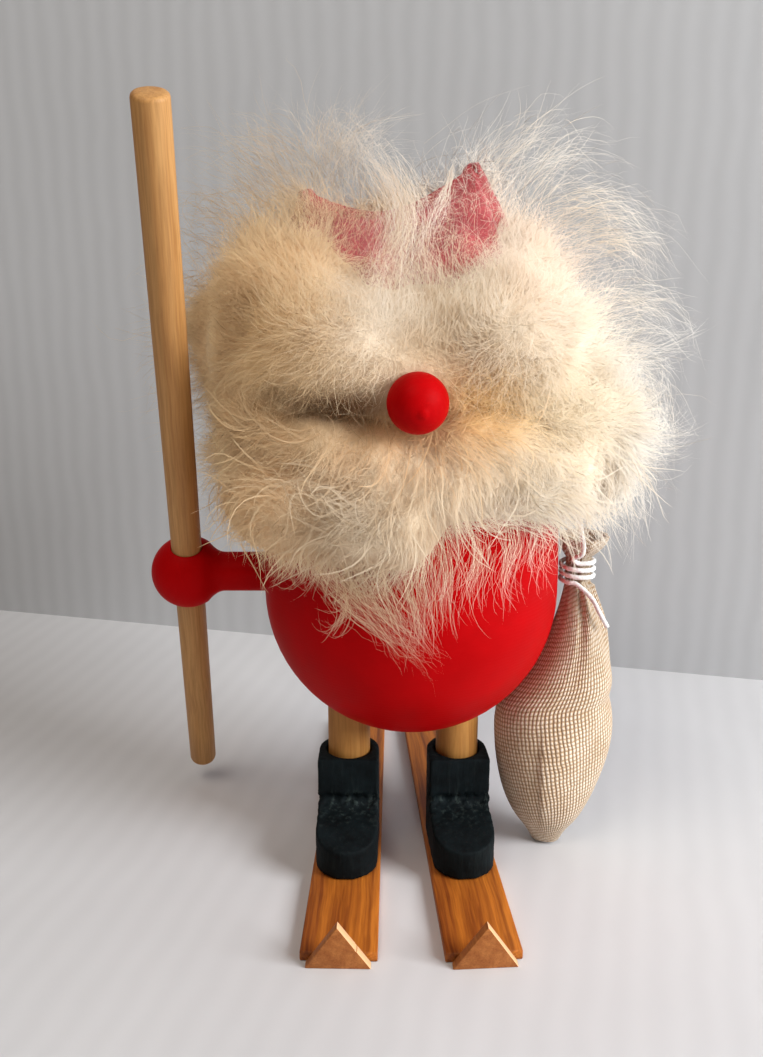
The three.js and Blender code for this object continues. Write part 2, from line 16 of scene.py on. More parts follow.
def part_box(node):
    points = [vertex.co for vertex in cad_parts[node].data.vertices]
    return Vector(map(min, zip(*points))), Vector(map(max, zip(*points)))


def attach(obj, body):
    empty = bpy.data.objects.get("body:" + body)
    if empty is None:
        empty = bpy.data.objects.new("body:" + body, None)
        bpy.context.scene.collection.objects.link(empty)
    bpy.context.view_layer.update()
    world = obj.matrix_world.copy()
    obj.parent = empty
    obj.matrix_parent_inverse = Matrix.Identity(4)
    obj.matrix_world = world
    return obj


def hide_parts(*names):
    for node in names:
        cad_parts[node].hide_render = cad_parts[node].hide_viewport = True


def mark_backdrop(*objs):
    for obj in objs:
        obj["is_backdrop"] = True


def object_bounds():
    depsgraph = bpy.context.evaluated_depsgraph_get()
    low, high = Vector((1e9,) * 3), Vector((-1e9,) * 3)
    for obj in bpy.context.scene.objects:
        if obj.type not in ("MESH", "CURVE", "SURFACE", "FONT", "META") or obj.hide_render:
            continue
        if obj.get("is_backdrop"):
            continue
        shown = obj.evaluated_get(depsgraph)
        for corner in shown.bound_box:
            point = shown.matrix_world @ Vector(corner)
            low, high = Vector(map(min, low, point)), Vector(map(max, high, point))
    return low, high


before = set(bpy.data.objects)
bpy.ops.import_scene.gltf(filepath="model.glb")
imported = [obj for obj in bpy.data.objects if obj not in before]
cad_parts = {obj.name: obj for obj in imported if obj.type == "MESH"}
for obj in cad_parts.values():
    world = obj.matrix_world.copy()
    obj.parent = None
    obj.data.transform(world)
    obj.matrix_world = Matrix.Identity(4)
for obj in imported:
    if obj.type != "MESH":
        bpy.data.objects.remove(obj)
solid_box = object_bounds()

# %% [markdown]
# The model is in metres, while a maker of such figures thinks in millimetres. So every size below is written in
# millimetres and multiplied by `MM` where Blender needs it. The body's axis is the line that most pieces refer to.

# %% Units and the body's axis
MM = 0.001
LEFT_FOOT = -12.9  # from the axis to the left leg
leg_low, leg_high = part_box("leg_left")
AXIS_X, AXIS_Y = (round((leg_low[i] + leg_high[i]) / 2 / MM - (LEFT_FOOT, 0)[i], 2) for i in (0, 1))
print("the body's axis is at", AXIS_X, AXIS_Y)


def at(x, y, z):
    """A point in millimetres, as Blender's metres."""
    return Vector((x, y, z)) * MM


# %% [markdown]
# ## Camera
# The camera comes first, because the cords are checked against what it sees. It looks down at the figure by
# sixteen degrees from about twenty centimetres, as close as a hand-held camera comes to such a small thing.
# The focal length is in pixels of the photograph's height, and Blender wants it for a sensor 36 mm high.

# %% Camera
PHOTO_HEIGHT = 1057
PHOTO_FOCAL = 1075
SENSOR = 36
CAMERA_ASIDE, CAMERA_OUT, CAMERA_HEIGHT = 6, 209, 131
CAMERA_TURN = 74  # degrees up from straight down

bpy.ops.object.camera_add(
    location=at(AXIS_X - CAMERA_ASIDE, AXIS_Y - CAMERA_OUT, CAMERA_HEIGHT), rotation=(math.radians(CAMERA_TURN), 0, 0)
)
camera = bpy.context.object
camera.name = "camera"
camera.data.sensor_width = SENSOR
camera.data.lens = SENSOR * PHOTO_FOCAL / PHOTO_HEIGHT
camera.data.clip_start = 0.01
bpy.context.scene.camera = camera
print("lens:", round(camera.data.lens, 2), "mm")

# %% [markdown]
# ## Helpers for modelling
# Most pieces start from a primitive and end the same way: their turn and place go into the mesh, so that the
# object itself sits at the origin, and they ride on a body of the solid model. These helpers do just that.


# %% Selecting, placing and riding
def deselect():
    """Leave edit mode and select nothing."""
    if bpy.context.object and bpy.context.object.mode != "OBJECT":
        bpy.ops.object.mode_set(mode="OBJECT")
    bpy.ops.object.select_all(action="DESELECT")


def only(piece):
    """Select this piece alone and make it the active one."""
    deselect()
    piece.select_set(True)
    bpy.context.view_layer.objects.active = piece


def settle(piece):
    """Put the piece's place, turn and size into its mesh."""
    only(piece)
    bpy.ops.object.transform_apply(location=True, rotation=True, scale=True)


def place(piece, where, turn=Matrix.Identity(4)):
    """Turn a piece that was made at the origin, move it to a point in millimetres, and settle it."""
    piece.matrix_world = Matrix.Translation(at(*where)) @ turn
    settle(piece)


def apply_modifiers(piece):
    """Put what the modifiers do into the mesh, one after the other."""
    only(piece)
    for modifier in list(piece.modifiers):
        bpy.ops.object.modifier_apply(modifier=modifier.name)


def smooth(piece, angle=40):
    """Shade the piece smoothly, apart from edges sharper than an angle in degrees."""
    only(piece)
    bpy.ops.object.shade_smooth_by_angle(angle=math.radians(angle))


def outwards(piece):
    """Turn all faces so that they point out of the piece."""
    only(piece)
    bpy.ops.object.mode_set(mode="EDIT")
    bpy.ops.mesh.select_all(action="SELECT")
    bpy.ops.mesh.normals_make_consistent(inside=False)
    bpy.ops.object.mode_set(mode="OBJECT")


def rings_across(piece, heights):
    """Cut a ring across the whole piece at each of these heights, in the units of its mesh."""
    only(piece)
    bpy.ops.object.mode_set(mode="EDIT")
    for height in heights:
        bpy.ops.mesh.select_all(action="SELECT")
        bpy.ops.mesh.bisect(plane_co=(0, 0, height), plane_no=(0, 0, 1))
    bpy.ops.object.mode_set(mode="OBJECT")


def carve(piece, cutter, operation="DIFFERENCE"):
    """Cut a piece with another one, or keep what they share, and put the cutter away."""
    cut = piece.modifiers.new(cutter.name, "BOOLEAN")
    cut.operation, cut.object = operation, cutter
    apply_modifiers(piece)
    bpy.data.objects.remove(cutter)


def even_out(piece, voxel, factor, rounds):
    """Modifiers that give a piece faces of one size, in millimetres, and soften its edges."""
    remesh = piece.modifiers.new("even faces", "REMESH")
    remesh.mode, remesh.voxel_size = "VOXEL", voxel * MM
    soft = piece.modifiers.new("soft edges", "SMOOTH")
    soft.factor, soft.iterations = factor, rounds


def finished(piece, body, slot, *nodes):
    """The piece rides on a body and stands for these nodes. The slot is not used."""
    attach(piece, body)
    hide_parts(*nodes)
    piece.data.calc_loop_triangles()
    print(piece.name, "triangles:", len(piece.data.loop_triangles))


# %% [markdown]
# A turned piece is made as on a lathe: a disc is extruded ring by ring along its axis, and each ring is scaled
# to the profile's radius there. Profiles are lists of (radius, height) pairs.


# %% The lathe
def turned(name, profile, sides=72):
    """A piece turned about Z, with its profile in millimetres from the bottom up."""
    deselect()
    radius, height = profile[0]
    bpy.ops.mesh.primitive_circle_add(vertices=sides, radius=radius * MM, fill_type="NGON", location=at(0, 0, height))
    piece = bpy.context.object
    piece.name = name
    settle(piece)
    bpy.ops.object.mode_set(mode="EDIT")
    bpy.ops.mesh.select_all(action="SELECT")
    for next_radius, next_height in profile[1:]:
        rise = at(0, 0, next_height - height)
        bpy.ops.mesh.extrude_region_move(TRANSFORM_OT_translate={"value": rise})
        share = next_radius / radius
        bpy.ops.transform.resize(value=(share, share, 1), center_override=at(0, 0, next_height))
        radius, height = next_radius, next_height
    bpy.ops.object.mode_set(mode="OBJECT")
    outwards(piece)
    smooth(piece)
    return piece


def arc(count, point):
    """The points of a curve, for shares of its way from 0 to 1."""
    return [point(i / count) for i in range(count + 1)]


# %% [markdown]
# ## Helpers for materials
# Each finish is a Principled shader whose colour and normal, and sometimes its roughness, come from patterns.
# Patterns that several finishes share are node groups, which put out only colours, roughness and heights.


# %% Node helpers
def finish(name, roughness=0.5, **plain):
    """A new material, with its nodes, links and shader. Plain values go straight onto the shader's sockets."""
    material = bpy.data.materials.new(name)
    material.use_nodes = True
    tree = material.node_tree
    shader = tree.nodes["Principled BSDF"]
    shader.inputs["Roughness"].default_value = roughness
    for socket, value in plain.items():
        shader.inputs[socket.replace("_", " ")].default_value = value
    return material, tree.nodes, tree.links, shader


def node(nodes, kind, **values):
    """A node with some of its inputs, named by their sockets, or properties set."""
    new = nodes.new("ShaderNode" + kind)
    for key, value in values.items():
        if hasattr(new, key):
            setattr(new, key, value)
        else:
            new.inputs[key.replace("_", " ")].default_value = value
    return new


def ramp(nodes, *stops):
    """A colour ramp with (position, colour) stops."""
    new = nodes.new("ShaderNodeValToRGB")
    elements = new.color_ramp.elements
    while len(elements) < len(stops):
        elements.new(0.5)
    for element, (position, colour) in zip(elements, stops):
        element.position = position
        element.color = (*colour, 1) if len(colour) == 3 else colour
    return new


def group(name, inputs, outputs):
    """A new node group with named sockets: each is (name, kind, default)."""
    tree = bpy.data.node_groups.new(name, "ShaderNodeTree")
    for socket_name, kind, default in inputs:
        socket = tree.interface.new_socket(socket_name, in_out="INPUT", socket_type="NodeSocket" + kind)
        if default is not None:
            socket.default_value = default
    for socket_name, kind in outputs:
        tree.interface.new_socket(socket_name, in_out="OUTPUT", socket_type="NodeSocket" + kind)
    return tree, tree.nodes.new("NodeGroupInput"), tree.nodes.new("NodeGroupOutput")


def use(nodes, tree, **values):
    """A group placed in a material, with its own values."""
    new = nodes.new("ShaderNodeGroup")
    new.node_tree = tree
    for key, value in values.items():
        new.inputs[key.replace("_", " ")].default_value = value
    return new


def local(nodes, links, where=(0, 0, 0), turn=(0, 0, 0)):
    """Object coordinates, centred on a point in millimetres and turned with the piece."""
    coordinates = nodes.new("ShaderNodeTexCoord")
    mapping = node(nodes, "Mapping", vector_type="TEXTURE")
    mapping.inputs["Location"].default_value = at(*where)
    mapping.inputs["Rotation"].default_value = turn
    links.new(coordinates.outputs["Object"], mapping.inputs["Vector"])
    return mapping.outputs["Vector"]


def noise(nodes, links, vector, **values):
    """A noise pattern in the given coordinates."""
    new = node(nodes, "TexNoise", **values)
    links.new(vector, new.inputs["Vector"])
    return new.outputs[0]


def shaded(nodes, links, pattern, *stops):
    """The colour of a ramp that a pattern drives."""
    new = ramp(nodes, *stops)
    links.new(pattern, new.inputs[0])
    return new.outputs["Color"]


def multiplied(nodes, links, first, second, share=1.0):
    """The first colour, multiplied by the second as far as the share says."""
    both = node(nodes, "Mix", data_type="RGBA", blend_type="MULTIPLY")
    both.inputs["Factor"].default_value = share
    links.new(first, both.inputs[6])
    links.new(second, both.inputs[7])
    return both.outputs[2]


def bumped(nodes, links, shader, height, distance, strength):
    """The shader's normal follows a pattern's height. The distance is in metres, as the node wants it."""
    bump = node(nodes, "Bump", Distance=distance, Strength=strength)
    links.new(height, bump.inputs["Height"])
    links.new(bump.outputs["Normal"], shader.inputs["Normal"])


# %% [markdown]
# Wood grain runs along a piece: noise that is stretched along Z gives the fibres, and a second, broader noise
# the early and late wood. The group works in the piece's own turned coordinates, with Z along the grain.

# %% Wood grain group
grain, grain_in, grain_out = group(
    "wood grain",
    [
        ("Vector", "Vector", None),
        ("Early", "Color", (0.7, 0.45, 0.2, 1)),
        ("Late", "Color", (0.5, 0.28, 0.1, 1)),
        ("Bands", "Float", 260.0),
        ("Fibres", "Float", 1500.0),
        ("Contrast", "Float", 0.5),
    ],
    [("Color", "Color"), ("Height", "Float")],
)
g = grain.nodes
stretch = node(g, "VectorMath", operation="MULTIPLY")
stretch.inputs[1].default_value = (1, 1, 0.03)
wander = node(g, "TexNoise", Scale=60.0, Detail=2.0)
drift = node(g, "VectorMath", operation="MULTIPLY_ADD")
drift.inputs[1].default_value = (0.0013, 0.0013, 0)
bands = node(g, "TexNoise", Detail=2.0, Roughness=0.55)
fibres = node(g, "TexNoise", Detail=3.0, Roughness=0.6)
band_ramp = ramp(g, (0.38, (0, 0, 0)), (0.62, (1, 1, 1)))
pick = node(g, "Mix", data_type="RGBA")
strength = node(g, "Math", operation="MULTIPLY")
speckle = node(g, "Mix", data_type="RGBA", blend_type="MULTIPLY")
speckle_ramp = ramp(g, (0.35, (0.62, 0.55, 0.5)), (0.6, (1, 1, 1)))
height = node(g, "Math", operation="MULTIPLY_ADD")
height.inputs[1].default_value = 0.5
for start, end in [
    (grain_in.outputs["Vector"], stretch.inputs[0]),
    (grain_in.outputs["Vector"], wander.inputs["Vector"]),
    (wander.outputs["Color"], drift.inputs[0]),
    (stretch.outputs[0], drift.inputs[2]),
    (drift.outputs[0], bands.inputs["Vector"]),
    (grain_in.outputs["Bands"], bands.inputs["Scale"]),
    (drift.outputs[0], fibres.inputs["Vector"]),
    (grain_in.outputs["Fibres"], fibres.inputs["Scale"]),
    (bands.outputs[0], band_ramp.inputs[0]),
    (band_ramp.outputs["Color"], strength.inputs[0]),
    (grain_in.outputs["Contrast"], strength.inputs[1]),
    (strength.outputs[0], pick.inputs["Factor"]),
    (grain_in.outputs["Early"], pick.inputs[6]),
    (grain_in.outputs["Late"], pick.inputs[7]),
    (fibres.outputs[0], speckle_ramp.inputs[0]),
    (pick.outputs[2], speckle.inputs[6]),
    (speckle_ramp.outputs["Color"], speckle.inputs[7]),
    (grain_in.outputs["Contrast"], speckle.inputs["Factor"]),
    (speckle.outputs[2], grain_out.inputs["Color"]),
    (fibres.outputs[0], height.inputs[0]),
    (bands.outputs[0], height.inputs[2]),
    (height.outputs[0], grain_out.inputs["Height"]),
]:
    grain.links.new(start, end)

# %% [markdown]
# Bare and stained wood use that group with their own colours. The grain's height also bends the light a little,
# which keeps the surface from looking like plastic.


# %% Wooden finishes
def wooden(name, early, late, where=(0, 0, 0), turn=(0, 0, 0), bands=260.0, fibres=1500.0, contrast=0.5,
           roughness=0.55, depth=0.00008):
    """Wood with the colours of its early and late wood, and with its grain along the turned Z."""
    material, nodes, links, shader = finish(name, roughness, Specular_IOR_Level=0.25)
    pattern = use(nodes, grain, Early=(*early, 1), Late=(*late, 1), Bands=bands, Fibres=fibres, Contrast=contrast)
    links.new(local(nodes, links, where, turn), pattern.inputs["Vector"])
    links.new(pattern.outputs["Color"], shader.inputs["Base Color"])
    bumped(nodes, links, shader, pattern.outputs["Height"], depth, 0.6)
    return material


# %% [markdown]
# ## String
# White cotton string ties the sack's neck: it comes down from the loop on the hidden left arm, winds three times
# round the neck and ends in a short loose tail. It is modelled next, since cords are checked against the camera.
# The route repeats the solid model's, point by point, so it is written with the same sizes.

# %% Sizes that the route uses
BODY_RADIUS = 29.7
BODY_BOTTOM = 29.3
BODY_WIDEST = BODY_BOTTOM + BODY_RADIUS
HEAD_HEIGHT = 63
HEAD_FULLNESS = 2.3
CROWN = BODY_WIDEST + HEAD_HEIGHT
GAP = 0.3
STRING_RADIUS = 0.5
SACK_CLEAR = 0.5  # between the sack and the body or the boot
NECK_HEIGHT, NECK_LENGTH, NECK_RADIUS = 62.5, 5.6, 2.5
FRILL_HEIGHT, FRILL_RADIUS = 4.4, 5
STRING_TURNS, STRING_PITCH = 3, 1.5
TAIL_LENGTH, TAIL_BOW = 10, 3.2
ARM_RADIUS = 4
LEFT_SHOULDER, LEFT_ARM_RAISED = 78, 62  # its height, and degrees from level
RING_AT, RING_LEAN, RING_CLOSED = 4.1, 24, 0.93  # the loop: along the arm, degrees, and its share of a full ring


def body_radius(height):
    """How wide the egg of the body and head is at a height."""
    rise = height - BODY_WIDEST
    if rise <= 0:
        return math.sqrt(max(0, BODY_RADIUS**2 - rise**2))
    left = max(0, 1 - (rise / HEAD_HEIGHT) ** HEAD_FULLNESS)
    return BODY_RADIUS * left ** (1 / HEAD_FULLNESS)


shoulder = Vector((AXIS_X + body_radius(LEFT_SHOULDER), AXIS_Y, LEFT_SHOULDER))
raised = math.radians(LEFT_ARM_RAISED)
arm_line = Vector((math.cos(raised), 0, math.sin(raised)))
ring_half_width = ARM_RADIUS + GAP + STRING_RADIUS
ring_half_height = ring_half_width / math.cos(math.radians(LEFT_ARM_RAISED - RING_LEAN))
ring_centre = shoulder + arm_line * RING_AT
lean = math.radians(RING_LEAN)
ring_down = Vector((math.sin(lean), 0, -math.cos(lean)))
hang_point = ring_centre + ring_down * ring_half_height
neck_x = AXIS_X + body_radius(NECK_HEIGHT) + SACK_CLEAR + NECK_RADIUS + GAP + 2 * STRING_RADIUS
frill_x = AXIS_X + body_radius(NECK_HEIGHT + NECK_LENGTH / 2 + FRILL_HEIGHT) + SACK_CLEAR + FRILL_RADIUS
print("the sack hangs at", [round(v, 2) for v in hang_point], "its neck is at x", round(neck_x, 2))

# %% [markdown]
# A smooth curve through the points is the string's centreline. Two plies twist round it, which shows as a fine
# slanting groove. So the tube's section is a figure of eight that turns as it goes along.


# %% A string along a route
def smooth_route(points, per_span):
    """Points on a Catmull-Rom curve through the given ones."""
    path = []
    ends = [points[0] * 2 - points[1], *points, points[-1] * 2 - points[-2]]
    for a, b, c, d in zip(ends, ends[1:], ends[2:], ends[3:]):
        for step in range(per_span):
            t = step / per_span
            path.append(
                (b * 2 + (c - a) * t + (a * 2 - b * 5 + c * 4 - d) * t**2 + (b * 3 - a - c * 3 + d) * t**3) * 0.5
            )
    return [*path, points[-1]]


def string_tube(name, path, radius=STRING_RADIUS, sides=12, twist=2.6):
    """A two-ply string: its section is a figure of eight that turns once in `twist` millimetres."""
    vertices, faces, along = [], [], 0.0
    side = Vector((0, 0, 1))
    for i, point in enumerate(path):
        ahead = (path[min(i + 1, len(path) - 1)] - path[max(i - 1, 0)]).normalized()
        side = (side - ahead * side.dot(ahead)).normalized()
        other = ahead.cross(side)
        if i:
            along += (point - path[i - 1]).length
        for k in range(sides):
            angle = math.tau * k / sides
            ply = 0.84 + 0.16 * abs(math.cos(angle - math.tau * along / twist))
            offset = side * math.cos(angle) + other * math.sin(angle)
            vertices.append(point + offset * radius * ply)
    for i in range(len(path) - 1):
        for k in range(sides):
            a, b = i * sides + k, i * sides + (k + 1) % sides
            faces.append((a, b, b + sides, a + sides))
    faces.append(tuple(reversed(range(sides))))
    faces.append(tuple(range((len(path) - 1) * sides, len(path) * sides)))
    mesh = bpy.data.meshes.new(name)
    mesh.from_pydata([v * MM for v in vertices], [], faces)
    piece = bpy.data.objects.new(name, mesh)
    bpy.context.collection.objects.link(piece)
    outwards(piece)
    smooth(piece, 60)
    return piece


def route_length(path):
    """A route's length in millimetres."""
    return sum((b - a).length for a, b in zip(path, path[1:]))


# %% The winding, its tail and the loop on the arm
wind_radius = NECK_RADIUS + GAP + STRING_RADIUS
front = AXIS_Y - FRILL_RADIUS - GAP - STRING_RADIUS
wind_top = NECK_HEIGHT + STRING_TURNS * STRING_PITCH / 2
neck_end = NECK_HEIGHT + NECK_LENGTH / 2
# The route's points from the arm down to the neck, then the windings and the tail
hang = [
    hang_point + Vector((0, 0, -STRING_RADIUS - GAP)),
    Vector((hang_point.x, AXIS_Y + (front - AXIS_Y) * 0.75,
            hang_point.z + (neck_end + FRILL_HEIGHT - hang_point.z) * 0.4)),
    Vector((neck_x, front, neck_end + FRILL_HEIGHT * 0.6)),
    Vector((neck_x - wind_radius * 0.5, AXIS_Y - wind_radius * 1.35, wind_top + STRING_PITCH * 0.9)),
]
windings = []
for t in np.linspace(0, 1, STRING_TURNS * 12 + 1):
    angle = -math.pi * 0.55 + math.tau * STRING_TURNS * t
    windings.append(Vector((neck_x + wind_radius * math.cos(angle), AXIS_Y + wind_radius * math.sin(angle),
                            wind_top - STRING_TURNS * STRING_PITCH * t)))
tail = []
for t in (0.3, 0.65, 1):
    drop = TAIL_LENGTH * t
    tail.append(windings[-1] + Vector((1.5 + drop * 0.45, -TAIL_BOW * math.sin(t * 1.8), -drop * 0.8)))
string_path = smooth_route([*hang, *windings, *tail], 6)
sack_string = string_tube("sack_string_wound", string_path)
string_length = route_length(string_path)

loop_points = []
for t in np.linspace(-0.5, 0.5, 25):
    angle = math.tau * RING_CLOSED * t
    loop_points.append(ring_centre - ring_down * ring_half_height * math.cos(angle)
                       + Vector((0, ring_half_width * math.sin(angle), 0)))
loop_path = smooth_route(loop_points, 5)
string_loop = string_tube("string_loop_on_arm", loop_path)
loop_length = route_length(loop_path)
print("string:", round(string_length, 1), "mm, loop:", round(loop_length, 1), "mm")

# %% String finish
cotton, nodes, links, shader = finish("white_cotton_string", 0.85, Sheen_Weight=0.3)
fuzz = noise(nodes, links, local(nodes, links), Scale=2600.0, Detail=3.0)
tint = shaded(nodes, links, fuzz, (0.3, (0.72, 0.7, 0.66)), (0.6, (0.93, 0.93, 0.92)))
links.new(tint, shader.inputs["Base Color"])
bumped(nodes, links, shader, fuzz, 0.00006, 0.8)

for piece, body, solid, path, length, far_end in [
    (sack_string, "sack", "sack_string", string_path, string_length, "bare"),
    (string_loop, "figure", "string_loop", loop_path, loop_length, "object"),
]:
    piece.data.materials.append(cotton)
    finished(piece, body, "white_string", solid)

# %% [markdown]
# ## Painted wood
# The body, nose and arms are turned from one kind of wood and painted red. The paint is thin and nearly matt. Under
# it the tool left faint rings, and the paint itself is a little uneven. Ring marks follow the distance along the
# piece's own axis, so each painted piece gets a material in its own coordinates.

# %% Red paint
paint, paint_in, paint_out = group(
    "thin red paint", [("Vector", "Vector", None)], [("Color", "Color"), ("Roughness", "Float"), ("Height", "Float")]
)
g = paint.nodes
rings = node(g, "TexWave", wave_type="BANDS", bands_direction="Z", Scale=420.0, Distortion=1.4, Detail=3.0)
mottle = node(g, "TexNoise", Scale=90.0, Detail=4.0, Roughness=0.6)
pores = node(g, "TexNoise", Scale=1400.0, Detail=2.0)
shade = ramp(g, (0.3, (0.4, 0.001, 0.002)), (0.7, (0.48, 0.0015, 0.003)))
gloss = node(g, "MapRange", From_Min=0.3, From_Max=0.7, To_Min=0.42, To_Max=0.56)
relief = node(g, "Math", operation="MULTIPLY_ADD")
relief.inputs[1].default_value = 0.5
for start, end in [
    (paint_in.outputs[0], rings.inputs["Vector"]),
    (paint_in.outputs[0], mottle.inputs["Vector"]),
    (paint_in.outputs[0], pores.inputs["Vector"]),
    (mottle.outputs[0], shade.inputs[0]),
    (mottle.outputs[0], gloss.inputs["Value"]),
    (pores.outputs[0], relief.inputs[0]),
    (rings.outputs["Fac"], relief.inputs[2]),
    (shade.outputs["Color"], paint_out.inputs["Color"]),
    (gloss.outputs[0], paint_out.inputs["Roughness"]),
    (relief.outputs[0], paint_out.inputs["Height"]),
]:
    paint.links.new(start, end)


def painted(name, where, turn=(0, 0, 0)):
    """The red paint, in the coordinates of a piece that stands at a point and is turned."""
    material, nodes, links, shader = finish(name, 0.5, Specular_IOR_Level=0.03)
    coat = use(nodes, paint)
    links.new(local(nodes, links, where, turn), coat.inputs["Vector"])
    links.new(coat.outputs["Color"], shader.inputs["Base Color"])
    links.new(coat.outputs["Roughness"], shader.inputs["Roughness"])
    bumped(nodes, links, shader, coat.outputs["Height"], 0.00003, 0.35)
    return material


# %% [markdown]
# ### Body
# One egg makes the body and the head. Below its widest ring it is half a ball, and above it a fuller, taller curve.

# %% Body
lower = arc(20, lambda t: (max(0.2, BODY_RADIUS * math.sin(t * math.pi / 2)),
                           BODY_WIDEST - BODY_RADIUS * math.cos(t * math.pi / 2)))
upper = arc(26, lambda t: (max(0.2, BODY_RADIUS * math.cos(t * math.pi / 2) ** (2 / HEAD_FULLNESS)),
                           BODY_WIDEST + HEAD_HEIGHT * math.sin(t * math.pi / 2) ** (2 / HEAD_FULLNESS)))
body = turned("body_turned", [*lower, *upper[1:]], 112)
place(body, (AXIS_X, AXIS_Y, 0))
body.data.materials.append(painted("red_paint_body", (AXIS_X, AXIS_Y, 0)))
finished(body, "figure", "red_paint", "body")

# %% [markdown]
# ### Nose
# A bead with a faint, rounded point, where the tool came off last. It looks a little down and towards the sack.

# %% Nose
NOSE_RADIUS, NOSE_OUT, NOSE_HEIGHT = 5.2, 33, 102
NOSE_ASIDE, NOSE_DIP = 9, 12  # where it points, in degrees
PEG_RADIUS, PEG_LENGTH = 2, 17
NOSE_POINT = [(0.95, -0.04), (0.7, 0.1), (0.4, 0.2), (0.08, 0.24)]  # radius, and height over the bead
BEAD_START, BEAD_END = 0.4, math.pi * 0.93
nose_place = (AXIS_X, AXIS_Y - NOSE_OUT, NOSE_HEIGHT)
nose_turn = Matrix.Rotation(math.radians(NOSE_ASIDE), 4, "Z") @ Matrix.Rotation(math.radians(90 + NOSE_DIP), 4, "X")


def bead(t):
    """The bead's profile, from its peg to its point."""
    angle = BEAD_START + t * (BEAD_END - BEAD_START)
    return NOSE_RADIUS * math.sin(angle), -NOSE_RADIUS * math.cos(angle)


point = [(radius, NOSE_RADIUS + rise) for radius, rise in NOSE_POINT]
nose = turned("nose_turned", [(PEG_RADIUS, -PEG_LENGTH), *arc(24, bead), *point], 56)
place(nose, nose_place, nose_turn)
nose.data.materials.append(painted("red_paint_nose", nose_place, nose_turn.to_euler()))
finished(nose, "figure", "red_paint", "nose")

# %% [markdown]
# ### Arms
# Each arm is a ball hand on a short arm, turned in one. The right hand is drilled for the staff. A Boolean
# modifier does the drilling with a cylinder a little wider than the staff.

# %% Arms
HAND_RADIUS, ARM_LENGTH, ARM_FILLET = 7.4, 25, 2.2
HAND_OUT, SHOULDER_HEIGHT, LEFT_HAND_OUT = 45.5, 62, 15  # from the axis, the floor and the left shoulder
STAFF_RADIUS, STAFF_ABOVE, STAFF_BELOW = 3, 96, 61
STAFF_FORWARD, STAFF_INWARD = 24.6, 3.3  # degrees
leave = math.asin((ARM_RADIUS + ARM_FILLET) / HAND_RADIUS)  # where the ball passes into the arm


def ball(t):
    """The hand's profile, from its end to the arm."""
    angle = math.pi - t * (math.pi - leave)
    return max(0.15, HAND_RADIUS * math.sin(angle)), HAND_RADIUS * math.cos(angle)


def fillet(t):
    """The hollow curve from the hand to the arm."""
    return ARM_RADIUS + ARM_FILLET * (1 - t) ** 2, HAND_RADIUS * math.cos(leave) + ARM_FILLET * 1.6 * t


arm_profile = [*arc(26, ball), *arc(6, fillet)[1:], (ARM_RADIUS, ARM_LENGTH)]
hand_place = (AXIS_X - HAND_OUT, AXIS_Y, SHOULDER_HEIGHT)
arm_turn = Matrix.Rotation(math.radians(90), 4, "Y")
forward, inward = math.radians(STAFF_FORWARD), math.radians(STAFF_INWARD)
staff_turn = Matrix.Rotation(forward, 4, "X") @ Matrix.Rotation(inward, 4, "Y")

right_arm = turned("right_arm_turned", arm_profile, 64)
place(right_arm, hand_place, arm_turn)
deselect()
bpy.ops.mesh.primitive_cylinder_add(vertices=48, radius=(STAFF_RADIUS + 0.15) * MM, depth=0.03)
drill = bpy.context.object
drill.name = "drill"
place(drill, hand_place, staff_turn)
carve(right_arm, drill)
smooth(right_arm, 35)
right_arm.data.materials.append(painted("red_paint_right_arm", hand_place, arm_turn.to_euler()))
finished(right_arm, "right_arm", "red_paint", "right_arm")

left_hand = shoulder + arm_line * LEFT_HAND_OUT
left_turn = Matrix.Rotation(math.radians(-90 - LEFT_ARM_RAISED), 4, "Y")
left_arm = turned("left_arm_turned", arm_profile, 48)
place(left_arm, left_hand, left_turn)
left_arm.data.materials.append(painted("red_paint_left_arm", left_hand, left_turn.to_euler()))
finished(left_arm, "figure", "red_paint", "left_arm")

# %% [markdown]
# ## Staff and legs
# Both are plain dowel. A cylinder's rims are bevelled, since a sawn dowel is sanded there, and the staff's are
# worn rounder. The grain runs along the dowel, so a cut end shows it end-on.


# %% Dowels
def dowel(name, radius, bottom, top, where, turn=Matrix.Identity(4), rim=0.5):
    """A rod between two heights, with bevelled rims and rings of edges along it, turned and set in its place."""
    deselect()
    bpy.ops.mesh.primitive_cylinder_add(vertices=56, radius=radius * MM, depth=(top - bottom) * MM,
                                        location=at(0, 0, (top + bottom) / 2))
    piece = bpy.context.object
    piece.name = name
    settle(piece)
    bevel = piece.modifiers.new("rim", "BEVEL")
    bevel.width, bevel.segments, bevel.angle_limit = rim * MM, 3, math.radians(60)
    apply_modifiers(piece)
    rings_across(piece, [z * MM for z in np.linspace(bottom, top, 14)[1:-1]])
    place(piece, where, turn)
    smooth(piece, 30)
    return piece


staff = dowel("staff_dowel", STAFF_RADIUS, -STAFF_BELOW, STAFF_ABOVE, hand_place, staff_turn, 0.8)
staff.data.materials.append(wooden("pale_dowel", (0.55, 0.29, 0.1), (0.4, 0.17, 0.045), hand_place,
                                   staff_turn.to_euler(), 520.0, 2600.0, 0.55, 0.5))
finished(staff, "staff", "pale_dowel", "staff")

